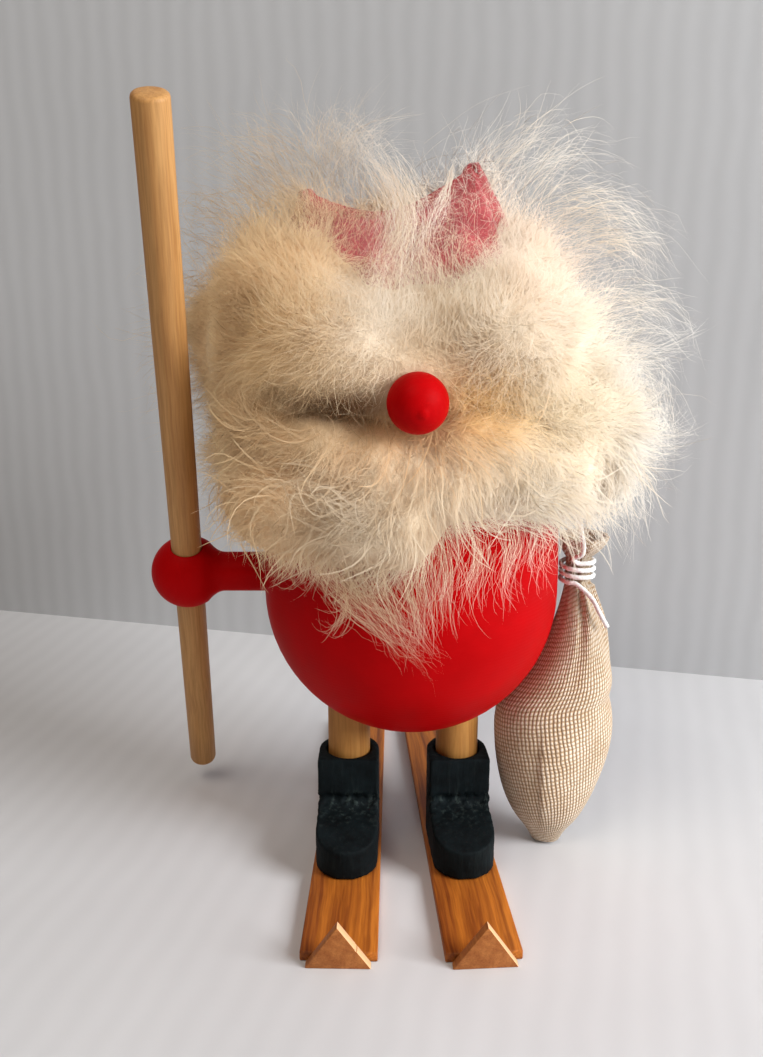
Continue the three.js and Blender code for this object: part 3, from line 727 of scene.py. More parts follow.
LEG_RADIUS, LEG_BOTTOM, LEG_IN_BODY = 4.45, 6.6, 14
RIGHT_FOOT = 10.1  # from the axis to the right leg
FEET = {"left": AXIS_X + LEFT_FOOT, "right": AXIS_X + RIGHT_FOOT}
for side, x in FEET.items():
    entry = BODY_WIDEST - math.sqrt(BODY_RADIUS**2 - (x - AXIS_X) ** 2)
    leg = dowel(f"leg_{side}_dowel", LEG_RADIUS, LEG_BOTTOM, entry + LEG_IN_BODY, (x, AXIS_Y, 0), rim=0.6)
    leg.data.materials.append(wooden(f"leg_dowel_{side}", (0.5, 0.24, 0.06), (0.38, 0.15, 0.03), (x, AXIS_Y, 0),
                                     (0, 0, 0.7), 480.0, 2400.0, 0.5))
    finished(leg, "figure", "leg_wood", f"leg_{side}")

# %% [markdown]
# ## Skis and their tips
# A ski is a sawn strip of softwood, stained orange-brown, so its grain runs along it in dark stripes. Its edges are
# broken with sandpaper. Each tip is a small triangle of the same wood, glued against the front end, so it is cut as
# a slab from its outline, and the boots are cut in the same way later. The tip's narrow sides that face right, towards
# the lamp, get a painted highlight: an attribute marks their faces, and the finish mixes a pale bare-wood colour in.

# %% Skis
SKI_THICKNESS, SKI_FRONT, SKI_REAR = 2, 41, 55
SKI_FRONT_WIDTH, SKI_REAR_WIDTH = 14.4, 12.9
SPLAY = {"left": -1.4, "right": 3.9}


def foot_turn(side):
    """How a ski and its boot are turned about the vertical."""
    return Matrix.Rotation(math.radians(SPLAY[side]), 4, "Z")


def along_ski(side):
    """The turn that lays a pattern's Z along a ski."""
    return (foot_turn(side) @ Matrix.Rotation(math.radians(90), 4, "X")).to_euler()


for side, x in FEET.items():
    deselect()
    bpy.ops.mesh.primitive_cube_add(size=1, location=at(0, (SKI_REAR - SKI_FRONT) / 2, SKI_THICKNESS / 2))
    ski = bpy.context.object
    ski.name = f"ski_{side}_strip"
    ski.scale = at(SKI_FRONT_WIDTH, SKI_FRONT + SKI_REAR, SKI_THICKNESS)
    settle(ski)
    for vertex in ski.data.vertices:
        if vertex.co.y > 0:
            vertex.co.x *= SKI_REAR_WIDTH / SKI_FRONT_WIDTH
    bevel = ski.modifiers.new("broken edge", "BEVEL")
    bevel.width, bevel.segments = 0.3 * MM, 3
    apply_modifiers(ski)
    place(ski, (x, AXIS_Y, 0), foot_turn(side))
    smooth(ski, 35)
    ski.data.materials.append(wooden(f"ski_stain_{side}", (0.54, 0.17, 0.02), (0.22, 0.05, 0.008), (x, AXIS_Y, 0),
                                     along_ski(side), 640.0, 1800.0, 0.85, 0.5, 0.0001))
    finished(ski, "figure", "ski_stain", f"ski_{side}")

# %% Ski tips
TIP_WIDTH, TIP_HEIGHT, TIP_THICKNESS, TIP_LEAN = 12.2, 9.8, 1.8, 8
CHIP_RADIUS = 0.55


def sawn(name, outline, thickness):
    """A slab with the given outline in X and Y, millimetres, and a thickness along Z."""
    deselect()
    bpy.ops.mesh.primitive_circle_add(vertices=len(outline), radius=MM, fill_type="NGON")
    slab = bpy.context.object
    slab.name = name
    for vertex, (u, v) in zip(slab.data.vertices, outline):
        vertex.co = at(u, v, 0)
    bpy.ops.object.mode_set(mode="EDIT")
    bpy.ops.mesh.select_all(action="SELECT")
    bpy.ops.mesh.extrude_region_move(TRANSFORM_OT_translate={"value": at(0, 0, thickness)})
    bpy.ops.object.mode_set(mode="OBJECT")
    outwards(slab)
    return slab


for side, x in FEET.items():
    corners = [(0, TIP_HEIGHT), (-TIP_WIDTH / 2, 0), (TIP_WIDTH / 2, 0)]
    tip = sawn(f"ski_tip_{side}_triangle", corners, TIP_THICKNESS)
    bevel = tip.modifiers.new("broken edge", "BEVEL")
    bevel.width, bevel.segments = 0.22 * MM, 2
    apply_modifiers(tip)
    if side == "left":
        # A chip is missing from the middle of its right edge
        deselect()
        bpy.ops.mesh.primitive_cylinder_add(vertices=7, radius=CHIP_RADIUS * MM, depth=0.01,
                                            location=at(TIP_WIDTH * 0.3, TIP_HEIGHT * 0.47, 0))
        chip = bpy.context.object
        chip.name = "chip"
        settle(chip)
        carve(tip, chip)
    lift = TIP_THICKNESS * math.sin(math.radians(TIP_LEAN))
    stand = (
        Matrix.Translation(at(x, AXIS_Y, 0))
        @ foot_turn(side)
        @ Matrix.Translation(at(0, -SKI_FRONT - GAP, lift))
        @ Matrix.Rotation(math.radians(90 + TIP_LEAN), 4, "X")
    )
    tip.matrix_world = stand
    settle(tip)
    smooth(tip, 35)
    facing = stand.to_3x3() @ Vector((0, 0, 1))
    # Painted highlight: the narrow sides that face right, towards the lamp, are marked to take a pale colour.
    pale = [float(abs(face.normal.dot(facing)) < 0.9 and face.normal.x > 0.3) for face in tip.data.polygons]
    tip.data.attributes.new("sawn", "FLOAT", "FACE").data.foreach_set("value", pale)
    pine = wooden(f"cut_pine_{side}", (0.5, 0.18, 0.045), (0.34, 0.1, 0.02), (x, AXIS_Y, 0), along_ski(side),
                  600.0, 2400.0, 0.7)
    nodes, links = pine.node_tree.nodes, pine.node_tree.links
    stained = nodes["Principled BSDF"].inputs["Base Color"]
    # The mark mixes a pale colour in, as a painted highlight on those sides.
    lit_edge_mask = node(nodes, "Attribute", attribute_name="sawn")
    bare = node(nodes, "Mix", data_type="RGBA")
    bare.inputs[7].default_value = (0.74, 0.45, 0.23, 1)
    links.new(lit_edge_mask.outputs["Fac"], bare.inputs["Factor"])
    links.new(stained.links[0].from_socket, bare.inputs[6])
    links.new(bare.outputs[2], stained)
    tip.data.materials.append(pine)
    finished(tip, "figure", "cut_pine", f"ski_tip_{side}")

# %% [markdown]
# ## Boots
# Each boot is sawn from a block: its side view is cut first, then its plan, with a round heel and toe. A Boolean
# modifier keeps what the two cuts share. The saw left a torn notch at the ankle, and black stain went over it all.
# Scratches show a little lighter wood all over, and the torn notch is painted lighter still: partly torn wood, partly
# a painted highlight where the notch catches the light.

# %% Boots
BOOT_WIDTH, BOOT_HEIGHT, BOOT_TOE, BOOT_SHAFT = 12.8, 20, 19, 5.9
TOE_HEIGHT, INSTEP_HEIGHT, NOTCH_TOP, NOTCH_DEPTH = 6, 9.2, 12.2, 0.9
TOE_SWELL, SPARE = 0.5, 1  # the toe's bulge, and how far each cut reaches past the other one
BORE_CLEAR, BORE_MIDDLE = 0.35, 23.2
TORN_HEIGHT, TORN_REACH = 10.6, 2.8  # where the saw tore the ankle's front, and how far up and down

half = BOOT_WIDTH / 2
side_view = [
    (half + SPARE, 0), (half + SPARE, BOOT_HEIGHT), (-BOOT_SHAFT, BOOT_HEIGHT), (-BOOT_SHAFT, NOTCH_TOP),
    (-BOOT_SHAFT + NOTCH_DEPTH, (NOTCH_TOP + INSTEP_HEIGHT) / 2), (-BOOT_SHAFT - NOTCH_DEPTH, INSTEP_HEIGHT),
    (-(BOOT_SHAFT + BOOT_TOE) / 2, (INSTEP_HEIGHT + TOE_HEIGHT) / 2 + TOE_SWELL), (-BOOT_TOE, TOE_HEIGHT),
    (-BOOT_TOE, 0),
]


def half_round(centre, start):
    """Half a circle as wide as the boot, from a start in degrees."""
    return arc(24, lambda t: (half * math.cos(math.radians(start + 180 * t)),
                              centre + half * math.sin(math.radians(start + 180 * t))))


plan_view = [*half_round(0, 0), *half_round(half - BOOT_TOE, 180)]

black, nodes, links, shader = finish("black_stain", 0.7, Specular_IOR_Level=0.1)
vector = local(nodes, links)
drawn = node(nodes, "VectorMath", operation="MULTIPLY")
drawn.inputs[1].default_value = (1, 1, 0.12)
links.new(vector, drawn.inputs[0])
cloudy = noise(nodes, links, vector, Scale=160.0, Detail=5.0, Roughness=0.7)
scratch = noise(nodes, links, drawn.outputs[0], Scale=900.0, Detail=4.0, Roughness=0.7)
stain = shaded(nodes, links, cloudy, (0.3, (0.001, 0.002, 0.0025)), (0.7, (0.006, 0.011, 0.013)))
bare = shaded(nodes, links, scratch, (0.53, (0, 0, 0)), (0.75, (1, 1, 1)))
# The torn attribute lifts the colour: scratches all over, and at the notch torn wood and a painted highlight.
torn = node(nodes, "Attribute", attribute_name="torn")
bare_wood_and_notch_highlight = node(nodes, "Math", operation="MULTIPLY")
links.new(bare, bare_wood_and_notch_highlight.inputs[0])
links.new(torn.outputs["Fac"], bare_wood_and_notch_highlight.inputs[1])
mixed = node(nodes, "Mix", data_type="RGBA")
mixed.inputs[7].default_value = (0.04, 0.055, 0.052, 1)
links.new(stain, mixed.inputs[6])
links.new(bare_wood_and_notch_highlight.outputs[0], mixed.inputs["Factor"])
links.new(mixed.outputs[2], shader.inputs["Base Color"])
bumped(nodes, links, shader, scratch, 0.00025, 0.7)

rough_clouds = bpy.data.textures.new("sawn clouds", "CLOUDS")
rough_clouds.noise_scale = 0.0016
rough_clouds.noise_depth = 3

on_its_side = Matrix.Rotation(math.radians(90), 4, "Z") @ Matrix.Rotation(math.radians(90), 4, "X")
for side, x in FEET.items():
    boot = sawn(f"boot_{side}_sawn", side_view, BOOT_WIDTH + 2 * SPARE)
    place(boot, (-half - SPARE, 0, 0), on_its_side)
    plan = sawn("plan", plan_view, BOOT_HEIGHT + 2 * SPARE)
    place(plan, (0, 0, -SPARE))
    carve(boot, plan, "INTERSECT")
    deselect()
    bpy.ops.mesh.primitive_cylinder_add(vertices=48, radius=(LEG_RADIUS + BORE_CLEAR) * MM, depth=0.02,
                                        location=at(0, 0, BORE_MIDDLE))
    bore = bpy.context.object
    bore.name = "bore"
    settle(bore)
    carve(boot, bore)
    even_out(boot, 0.36, 0.5, 3)
    apply_modifiers(boot)
    # The marks are small all over, for scratches, and larger at the torn notch, which is partly a painted highlight.
    marks = []
    notch = boot.vertex_groups.new(name="notch")
    for vertex in boot.data.vertices:
        mark = max(0, 1 - abs(vertex.co.z / MM - TORN_HEIGHT) / TORN_REACH) if vertex.co.y < -2 * MM else 0
        marks.append(min(1, 0.16 + mark * 1.4))
        notch.add([vertex.index], 0.12 + mark, "REPLACE")
    rough = boot.modifiers.new("torn wood", "DISPLACE")
    rough.texture, rough.strength, rough.mid_level = rough_clouds, 1.5 * MM, 0.55
    rough.vertex_group = "notch"
    apply_modifiers(boot)
    boot.data.attributes.new("torn", "FLOAT", "POINT").data.foreach_set("value", marks)
    place(boot, (x, AXIS_Y, SKI_THICKNESS + GAP), foot_turn(side))
    smooth(boot, 60)
    boot.data.materials.append(black)
    finished(boot, "figure", "black_stain", f"boot_{side}")

# %% [markdown]
# ## Cap
# The cap is a short bag of red cloth, sewn straight across its top, so the seam ends in two soft corners. It starts
# as an open cylinder round the head. Its rings flatten upwards into the seam, and folds run down from the seam.

# %% Cap
CAP_RIM, CAP_CORNERS, CAP_DIP, CAP_WALL = CROWN - 13, (CROWN + 15, CROWN + 20), 6, 1.5
CAP_TOP_HALF_WIDTH, CAP_TOP_HALF_DEPTH, CAP_SHIFT = 17, 0.8, -4.7
CAP_BULGE_WIDTH, CAP_BULGE_DEPTH, CAP_FLATTENING, CAP_SQUARENESS = 3, 2, 1.4, 0.35
CAP_DIP_REACH = 0.84  # how much of the half width the seam's dip takes
CAP_INSET, CAP_CLOTH, CAP_ROUND, CAP_RINGS = 0.7, 0.9, 96, 28
rim_radius = body_radius(CAP_RIM) + GAP + CAP_WALL

deselect()
bpy.ops.mesh.primitive_cylinder_add(vertices=CAP_ROUND, radius=1, depth=1, end_fill_type="NOTHING")
cap = bpy.context.object
cap.name = "cap_cloth"
rings_across(cap, [i / CAP_RINGS - 0.5 for i in range(1, CAP_RINGS)])
for vertex in cap.data.vertices:
    t = min(1, max(0, vertex.co.z + 0.5))
    angle = math.atan2(vertex.co.y, vertex.co.x)
    across, deep = math.cos(angle), math.sin(angle)
    bulge = math.sin(math.pi * t)
    width = rim_radius + (CAP_TOP_HALF_WIDTH - rim_radius) * t + CAP_BULGE_WIDTH * bulge - CAP_INSET
    depth = rim_radius + (CAP_TOP_HALF_DEPTH - rim_radius) * t**CAP_FLATTENING + CAP_BULGE_DEPTH * bulge - CAP_INSET
    corner = CAP_CORNERS[0] + (CAP_CORNERS[1] - CAP_CORNERS[0]) * (across + 1) / 2
    edge = corner - CAP_DIP * max(0, 1 - (across / CAP_DIP_REACH) ** 2) - CAP_INSET
    out = 1 + (1 / max(abs(across), abs(deep)) - 1) * t * CAP_SQUARENESS
    fold = 1 + 0.05 * math.sin(7 * angle + 3 * t) * t * (1 - t) * 4 * abs(deep) + 0.02 * math.sin(17 * angle)
    vertex.co = at(AXIS_X + CAP_SHIFT * t + width * across * out * fold,
                   AXIS_Y + max(0.5, depth) * deep * out * fold,
                   CAP_RIM + (edge - CAP_RIM) * t)
bpy.ops.object.mode_set(mode="EDIT")
bpy.ops.mesh.select_all(action="SELECT")
bpy.ops.mesh.remove_doubles(threshold=0.00002)
bpy.ops.object.mode_set(mode="OBJECT")
thick = cap.modifiers.new("cloth", "SOLIDIFY")
thick.thickness, thick.offset = CAP_CLOTH * MM, -1
apply_modifiers(cap)
smooth(cap, 70)

red_cloth, nodes, links, shader = finish("red_cloth", 0.9, Sheen_Weight=0.6, Sheen_Roughness=0.5)
vector = local(nodes, links)
nap = noise(nodes, links, vector, Scale=1500.0, Detail=4.0, Roughness=0.7)
worn = noise(nodes, links, vector, Scale=140.0, Detail=3.0)
shade = shaded(nodes, links, worn, (0.3, (0.42, 0.03, 0.04)), (0.7, (0.62, 0.09, 0.1)))
specks = shaded(nodes, links, nap, (0.35, (0.5, 0.45, 0.45)), (0.6, (1, 1, 1)))
links.new(multiplied(nodes, links, shade, specks, 0.5), shader.inputs["Base Color"])
bumped(nodes, links, shader, nap, 0.0003, 0.8)
cap.data.materials.append(red_cloth)
finished(cap, "figure", "red_cloth", "cap")

# %% [markdown]
# ## Sack
# The sack is a small burlap bag, stuffed firm, gathered at its neck and standing on its pointed bottom beside the
# boot. Its rings follow the body's side. Pleats run down from the neck and die out in the belly.

# %% Sack
SACK_HALF_WIDTH, SACK_HALF_DEPTH, SACK_BOTTOM, SACK_CLOTH = 12.9, 11, 0.8, 0.6
SACK_ROUND, SACK_RINGS = 144, 150
BELLY_END, NECK_SHARE = 0.85, 0.07  # shares of the rings for the belly and the neck, and the rest is the frill
UV_HEIGHT = 80
# Each station: its share of the height, and its half width and half depth as shares of the widest
SACK_STATIONS = [
    (0, 0.16, 0.16), (0.055, 0.45, 0.42), (0.156, 0.74, 0.73), (0.326, 0.94, 0.94), (0.496, 1, 1),
    (0.598, 0.9, 0.96), (0.666, 0.72, 0.87), (0.784, 0.5, 0.67), (0.886, 0.38, 0.49), (1, 0.19, 0.22),
]
neck_start = NECK_HEIGHT - NECK_LENGTH / 2
beside_boot = FEET["right"] + BOOT_WIDTH / 2 + SACK_CLEAR + SACK_HALF_WIDTH
share_at = [s[0] for s in SACK_STATIONS]


def eased(share, column):
    """The width or depth at a share of the height, rounded off between the stations."""
    around = np.linspace(share - 0.07, share + 0.07, 9)
    return float(np.mean(np.interp(around, share_at, [s[column] for s in SACK_STATIONS])))


def sack_ring(t):
    """Height, middle, half width and half depth at a share of the way from the bottom to the mouth's rim."""
    if t <= BELLY_END:
        share = t / BELLY_END
        width = max(NECK_RADIUS, eased(share, 1) * SACK_HALF_WIDTH)
        depth = max(NECK_RADIUS, eased(share, 2) * SACK_HALF_DEPTH)
        z = SACK_BOTTOM + (neck_start - SACK_BOTTOM) * share
        beside_body = AXIS_X + body_radius(z) + SACK_CLEAR + width + 1.3 * share**8
        x = max(beside_boot, beside_body)
        bend = (math.hypot(beside_boot - beside_body, 5 * (1 - share)) - abs(beside_boot - beside_body)) / 2
        x, width = x + bend * 0.75, width - bend * 0.25
        return z, x, width, depth
    if t <= BELLY_END + NECK_SHARE:
        share = (t - BELLY_END) / NECK_SHARE
        return neck_start + NECK_LENGTH * share, neck_x, NECK_RADIUS, NECK_RADIUS
    share = (t - BELLY_END - NECK_SHARE) / (1 - BELLY_END - NECK_SHARE)
    radius = NECK_RADIUS + (FRILL_RADIUS - NECK_RADIUS) * math.sin(share * math.pi / 2)
    return neck_end + FRILL_HEIGHT * share, neck_x + (frill_x - neck_x) * share, radius, radius


deselect()
bpy.ops.mesh.primitive_cylinder_add(vertices=SACK_ROUND, radius=1, depth=1, end_fill_type="NOTHING", calc_uvs=True)
sack = bpy.context.object
sack.name = "sack_burlap"
rings_across(sack, [i / SACK_RINGS - 0.5 for i in range(1, SACK_RINGS)])
rng = np.random.default_rng(7)
pleat_phase = rng.uniform(0, 6.28, 4)
turns = []
for vertex in sack.data.vertices:
    t = min(1, max(0, vertex.co.z + 0.5))
    angle = math.atan2(vertex.co.y, vertex.co.x)
    turns.append((angle / math.tau + 0.75) % 1)
    z, x, width, depth = sack_ring(t)
    near_neck = math.exp(-(((t - 0.84) / 0.15) ** 2))
    pleat = (0.6 * math.sin(7 * angle + pleat_phase[0]) + 0.4 * math.sin(12 * angle + pleat_phase[1])) * near_neck
    lump = 0.03 * math.sin(3 * angle + 9 * t + pleat_phase[2]) + 0.02 * math.sin(5 * angle - 14 * t + pleat_phase[3])
    inner = math.cos(angle) < -0.3  # the side towards the body stays smoother
    grow = 1 + (pleat * 0.17 + lump * (1 - near_neck)) * (1 - 0.7 * inner) - (0.04 if inner else 0.015)
    vertex.co = at(x + width * math.cos(angle) * grow, AXIS_Y + depth * math.sin(angle) * grow, z)
uv = sack.data.uv_layers.active.data
for face in sack.data.polygons:
    ring = [turns[i] for i in face.vertices]
    for loop, i in zip(face.loop_indices, face.vertices):
        u = turns[i] + (1 if max(ring) - min(ring) > 0.5 and turns[i] < 0.5 else 0)
        uv[loop].uv = (u, sack.data.vertices[i].co.z / MM / UV_HEIGHT)
only(sack)
bpy.ops.object.mode_set(mode="EDIT")
bpy.ops.mesh.select_all(action="DESELECT")
bpy.ops.object.mode_set(mode="OBJECT")
lowest = min(v.co.z for v in sack.data.vertices)
for edge in sack.data.edges:
    a, b = (sack.data.vertices[i].co for i in edge.vertices)
    edge.select = max(a.z, b.z) < lowest + 0.00001
bpy.ops.object.mode_set(mode="EDIT")
bpy.ops.mesh.edge_face_add()
bpy.ops.object.mode_set(mode="OBJECT")
outwards(sack)
wall = sack.modifiers.new("cloth", "SOLIDIFY")
wall.thickness, wall.offset = SACK_CLOTH * MM, -1
apply_modifiers(sack)
smooth(sack, 60)

# %% [markdown]
# The weave follows the cloth: its UV map runs round the bag and up it, with one step for 80 mm of height, so warp and
# weft threads are two waves in it, a little askew. Each crossing is painted as a bright dot, a painted highlight on
# the raised thread, and the gaps between them are painted dark, as painted shade; a slub noise varies the threads'
# tone.

# %% Burlap
weave, weave_in, weave_out = group(
    "open weave",
    [("Vector", "Vector", None), ("Across", "Float", 170.0), ("Along", "Float", 150.0)],
    [("Color", "Color"), ("Height", "Float")],
)
g = weave.nodes
split = node(g, "SeparateXYZ")
wobble = node(g, "TexNoise", Scale=30.0, Detail=2.0)
steps = {}
for axis, label in (("X", "Across"), ("Y", "Along")):
    count = node(g, "Math", operation="MULTIPLY")
    weave.links.new(split.outputs[axis], count.inputs[0])
    weave.links.new(weave_in.outputs[label], count.inputs[1])
    shift = node(g, "Math", operation="MULTIPLY_ADD")
    shift.inputs[1].default_value = 2.2
    weave.links.new(wobble.outputs[0], shift.inputs[0])
    weave.links.new(count.outputs[0], shift.inputs[2])
    wave = node(g, "Math", operation="SINE")
    weave.links.new(shift.outputs[0], wave.inputs[0])
    steps[label] = wave
columns, rows = (node(g, "Math", operation="ABSOLUTE") for _ in range(2))
row_depth = node(g, "Math", operation="MULTIPLY_ADD")
row_depth.inputs[1].default_value, row_depth.inputs[2].default_value = 0.75, 0.25
lift, crossing_light_and_slub = (node(g, "Math", operation="MULTIPLY") for _ in range(2))
slub = node(g, "TexNoise", Scale=14.0, Detail=7.0, Roughness=0.8)
# The ramp paints the gaps dark, as painted shade, and the raised crossings pale, as painted highlight.
tone = ramp(g, (0.0, (0.27, 0.15, 0.07)), (0.1, (0.48, 0.31, 0.17)), (0.26, (0.72, 0.53, 0.35)),
            (0.45, (0.93, 0.8, 0.65)))
for start, end in [
    (weave_in.outputs["Vector"], split.inputs[0]),
    (weave_in.outputs["Vector"], wobble.inputs["Vector"]),
    (weave_in.outputs["Vector"], slub.inputs["Vector"]),
    (steps["Across"].outputs[0], columns.inputs[0]),
    (steps["Along"].outputs[0], rows.inputs[0]),
    (rows.outputs[0], row_depth.inputs[0]),
    (columns.outputs[0], lift.inputs[0]),
    (row_depth.outputs[0], lift.inputs[1]),
    (lift.outputs[0], crossing_light_and_slub.inputs[0]),
    (slub.outputs[0], crossing_light_and_slub.inputs[1]),
    (crossing_light_and_slub.outputs[0], tone.inputs[0]),
    (tone.outputs["Color"], weave_out.inputs["Color"]),
    (lift.outputs[0], weave_out.inputs["Height"]),
]:
    weave.links.new(start, end)

burlap, nodes, links, shader = finish("burlap", 0.9, Sheen_Weight=0.2)
coordinates = nodes.new("ShaderNodeTexCoord")
skewed = node(nodes, "Mapping")
skewed.inputs["Rotation"].default_value = (0, 0, -0.17)
cloth = use(nodes, weave, Across=276.0, Along=270.0)
links.new(coordinates.outputs["UV"], skewed.inputs["Vector"])
links.new(skewed.outputs["Vector"], cloth.inputs["Vector"])
links.new(cloth.outputs["Color"], shader.inputs["Base Color"])
bumped(nodes, links, shader, cloth.outputs["Height"], 0.0003, 0.9)
sack.data.materials.append(burlap)
finished(sack, "sack", "burlap", "sack", "sack_filling")

# %% [markdown]
# ## Fleece
# Hair and beard are long natural fleece, and they are most of what one sees. Real fibres are far too many, so two
# things stand for them: a soft, lumpy undercoat that fills the mass, and over it a coat of very thin tapered fibres.
# The fibres are flat ribbons in one mesh per batch, built from arrays, because no operator lays out so many.

# %% Where the fleece swells
# Each lock: its centre, from the body's axis and with the height from the crown, and its half sizes
HAIR_LOCKS = [
    (-3, 3, -16, 37, 37, 19), (-22, -4, -4, 16, 19, 12), (19, 1, -4, 10.5, 18, 13), (0, 19, -3, 27, 17, 15),
    (33, 1, -28, 12.5, 20, 14), (-30, 7, -16, 12, 24, 16), (-32, 16, -16, 14.5, 17, 17), (-15, -23, -12, 15, 13, 10),
    (15, -22, -10, 14.5, 13, 12), (0, 25, -24, 28, 17, 18), (-25, -12, -25, 13, 15, 9.5), (25, -12, -27, 13, 15, 9.5),
]
BEARD_LOCKS = [
    (-1, 0, -34, 37, 35, 17.5), (-7, -24, -41, 15, 13, 13), (-20, -17, -40, 17, 16, 12), (20, -17, -34, 15, 15, 11),
    (33, 1, -34, 12.5, 20, 13), (-29, 14, -36, 13.5, 17, 14), (0, 19, -42, 28, 19, 14), (-13, -21, -29, 16, 13, 9.5),
    (8, -20, -28, 16, 13, 9.5), (-25, -12, -27, 13, 15, 9.5), (25, -12, -29, 13, 15, 9.5),
]
PARTING, PARTING_SLOPE = CROWN - 29, math.radians(13)
OVERLAP = 3  # how far hair and beard each reach past the parting
UNDER = 1.9  # how far the undercoat lies under the locks' outer skin
VOXEL, SOFTNESS = 1.1, 0.6

fuzzy_clouds = bpy.data.textures.new("fleece clouds", "CLOUDS")
fuzzy_clouds.noise_scale = 0.009
fuzzy_clouds.noise_depth = 3


def undercoat(name, locks, up):
    """One soft lump from all the locks, cut at the parting."""
    lumps = []
    for x, y, z, rx, ry, rz in locks:
        deselect()
        bpy.ops.mesh.primitive_uv_sphere_add(segments=32, ring_count=20, radius=MM,
                                             location=at(x + AXIS_X, y + AXIS_Y, CROWN + z))
        lump = bpy.context.object
        lump.scale = (rx - UNDER, ry - UNDER, rz - UNDER)
        settle(lump)
        lumps.append(lump)
    deselect()
    for lump in lumps:
        lump.select_set(True)
    bpy.context.view_layer.objects.active = lumps[0]
    bpy.ops.object.join()
    core = bpy.context.object
    core.name = name
    settle(core)
    even_out(core, VOXEL, SOFTNESS, 12)
    apply_modifiers(core)
    only(core)
    bpy.ops.object.mode_set(mode="EDIT")
    bpy.ops.mesh.select_all(action="SELECT")
    side = -1 if up else 1
    middle = Vector((0, math.sin(PARTING_SLOPE), math.cos(PARTING_SLOPE)))
    bpy.ops.mesh.bisect(plane_co=at(AXIS_X, AXIS_Y, PARTING + side * OVERLAP), plane_no=middle, use_fill=True,
                        clear_inner=up, clear_outer=not up)
    bpy.ops.object.mode_set(mode="OBJECT")
    even_out(core, VOXEL, SOFTNESS, 6)
    swell = core.modifiers.new("swell", "DISPLACE")
    swell.texture, swell.strength, swell.mid_level = fuzzy_clouds, 3 * MM, 0.5
    apply_modifiers(core)
    smooth(core, 180)
    return core


hair_core = undercoat("hair_undercoat", HAIR_LOCKS, True)
beard_core = undercoat("beard_undercoat", BEARD_LOCKS, False)

# %% [markdown]
# A fibre starts a little inside the undercoat and follows the way the fleece is combed. Neighbours share the same
# swirls, which bend them together into soft locks, and each one curls by itself. Then bunches of fibres lean
# together towards their tips.


# %% Combing
BROAD_SWIRL, FINE_SWIRL, LOCK_SWIRL, COMB_SWIRL = 17, 7, 9, 20  # each one's wave length


def swirl(points, wave, seed):
    """A smooth random direction for each point, which changes over about one wave's length in millimetres."""
    rng = np.random.default_rng(seed)
    total = np.zeros_like(points)
    for _ in range(6):
        push = rng.normal(size=3)
        push *= math.tau / (wave * rng.uniform(0.7, 1.6) * np.linalg.norm(push))
        total += np.sin(points @ push + rng.uniform(0, 6.28))[..., None] * rng.normal(size=3)
    return total / 6**0.5


def unit(v):
    """Arrows of length 1."""
    return v / np.maximum(np.linalg.norm(v, axis=-1, keepdims=True), 1e-9)


def roots_on(core, count, rng, weight):
    """Random points on a piece, with normals, in millimetres; weight says how thick the fleece grows there."""
    mesh = core.data
    centres = np.zeros(len(mesh.polygons) * 3)
    normals = np.zeros(len(mesh.polygons) * 3)
    areas = np.zeros(len(mesh.polygons))
    mesh.polygons.foreach_get("center", centres)
    mesh.polygons.foreach_get("normal", normals)
    mesh.polygons.foreach_get("area", areas)
    centres, normals = centres.reshape(-1, 3) / MM, normals.reshape(-1, 3)
    chance = areas * weight(centres, normals)
    picked = rng.choice(len(areas), size=count, p=chance / chance.sum())
    return centres[picked] + rng.normal(size=(count, 3)) * 0.5, normals[picked]


def walked(roots, heading, lengths, joints, rng, own=0.07, droop=0.0):
    """Each fibre's points: a walk in equal steps, bent by the swirls it shares and by a curl of its own."""
    here, ahead = roots, unit(heading)
    step = (lengths / joints)[:, None]
    axis = unit(rng.normal(size=roots.shape))
    rate = rng.normal(0, own, len(roots))[:, None]
    path = [here]
    for _ in range(joints):
        bend = swirl(here, BROAD_SWIRL, 5) * 0.1 + swirl(here, FINE_SWIRL, 6) * 0.08
        bend[:, 2] -= droop
        ahead = unit(ahead + (bend + np.cross(axis, ahead) * rate) * step)
        here = here + ahead * step
        path.append(here)
    return np.stack(path, axis=1)


def bunched(path, rng, size, pull):
    """Bunches of about `size` fibres lean towards one of them, most at the tip."""
    leaders = rng.choice(len(path), size=max(1, len(path) // size), replace=False)
    tree = KDTree(len(leaders))
    for i, leader in enumerate(leaders):
        tree.insert(path[leader, 0], i)
    tree.balance()
    nearest = leaders[[tree.find(p)[1] for p in path[:, 0]]]
    s = np.linspace(0, 1, path.shape[1])[None, :, None]
    lean = pull * rng.uniform(0.35, 1.0, len(path))[:, None, None] * s**1.1
    return path + (path[nearest] - path) * lean


# %% [markdown]
# Each ribbon turns its flat side outwards, and a little to the front or the back, so that it doesn't vanish edge-on
# at the outline. Its shading normal leans towards the mass's own, so that the coat is lit as one soft body and not
# as thousands of splinters.


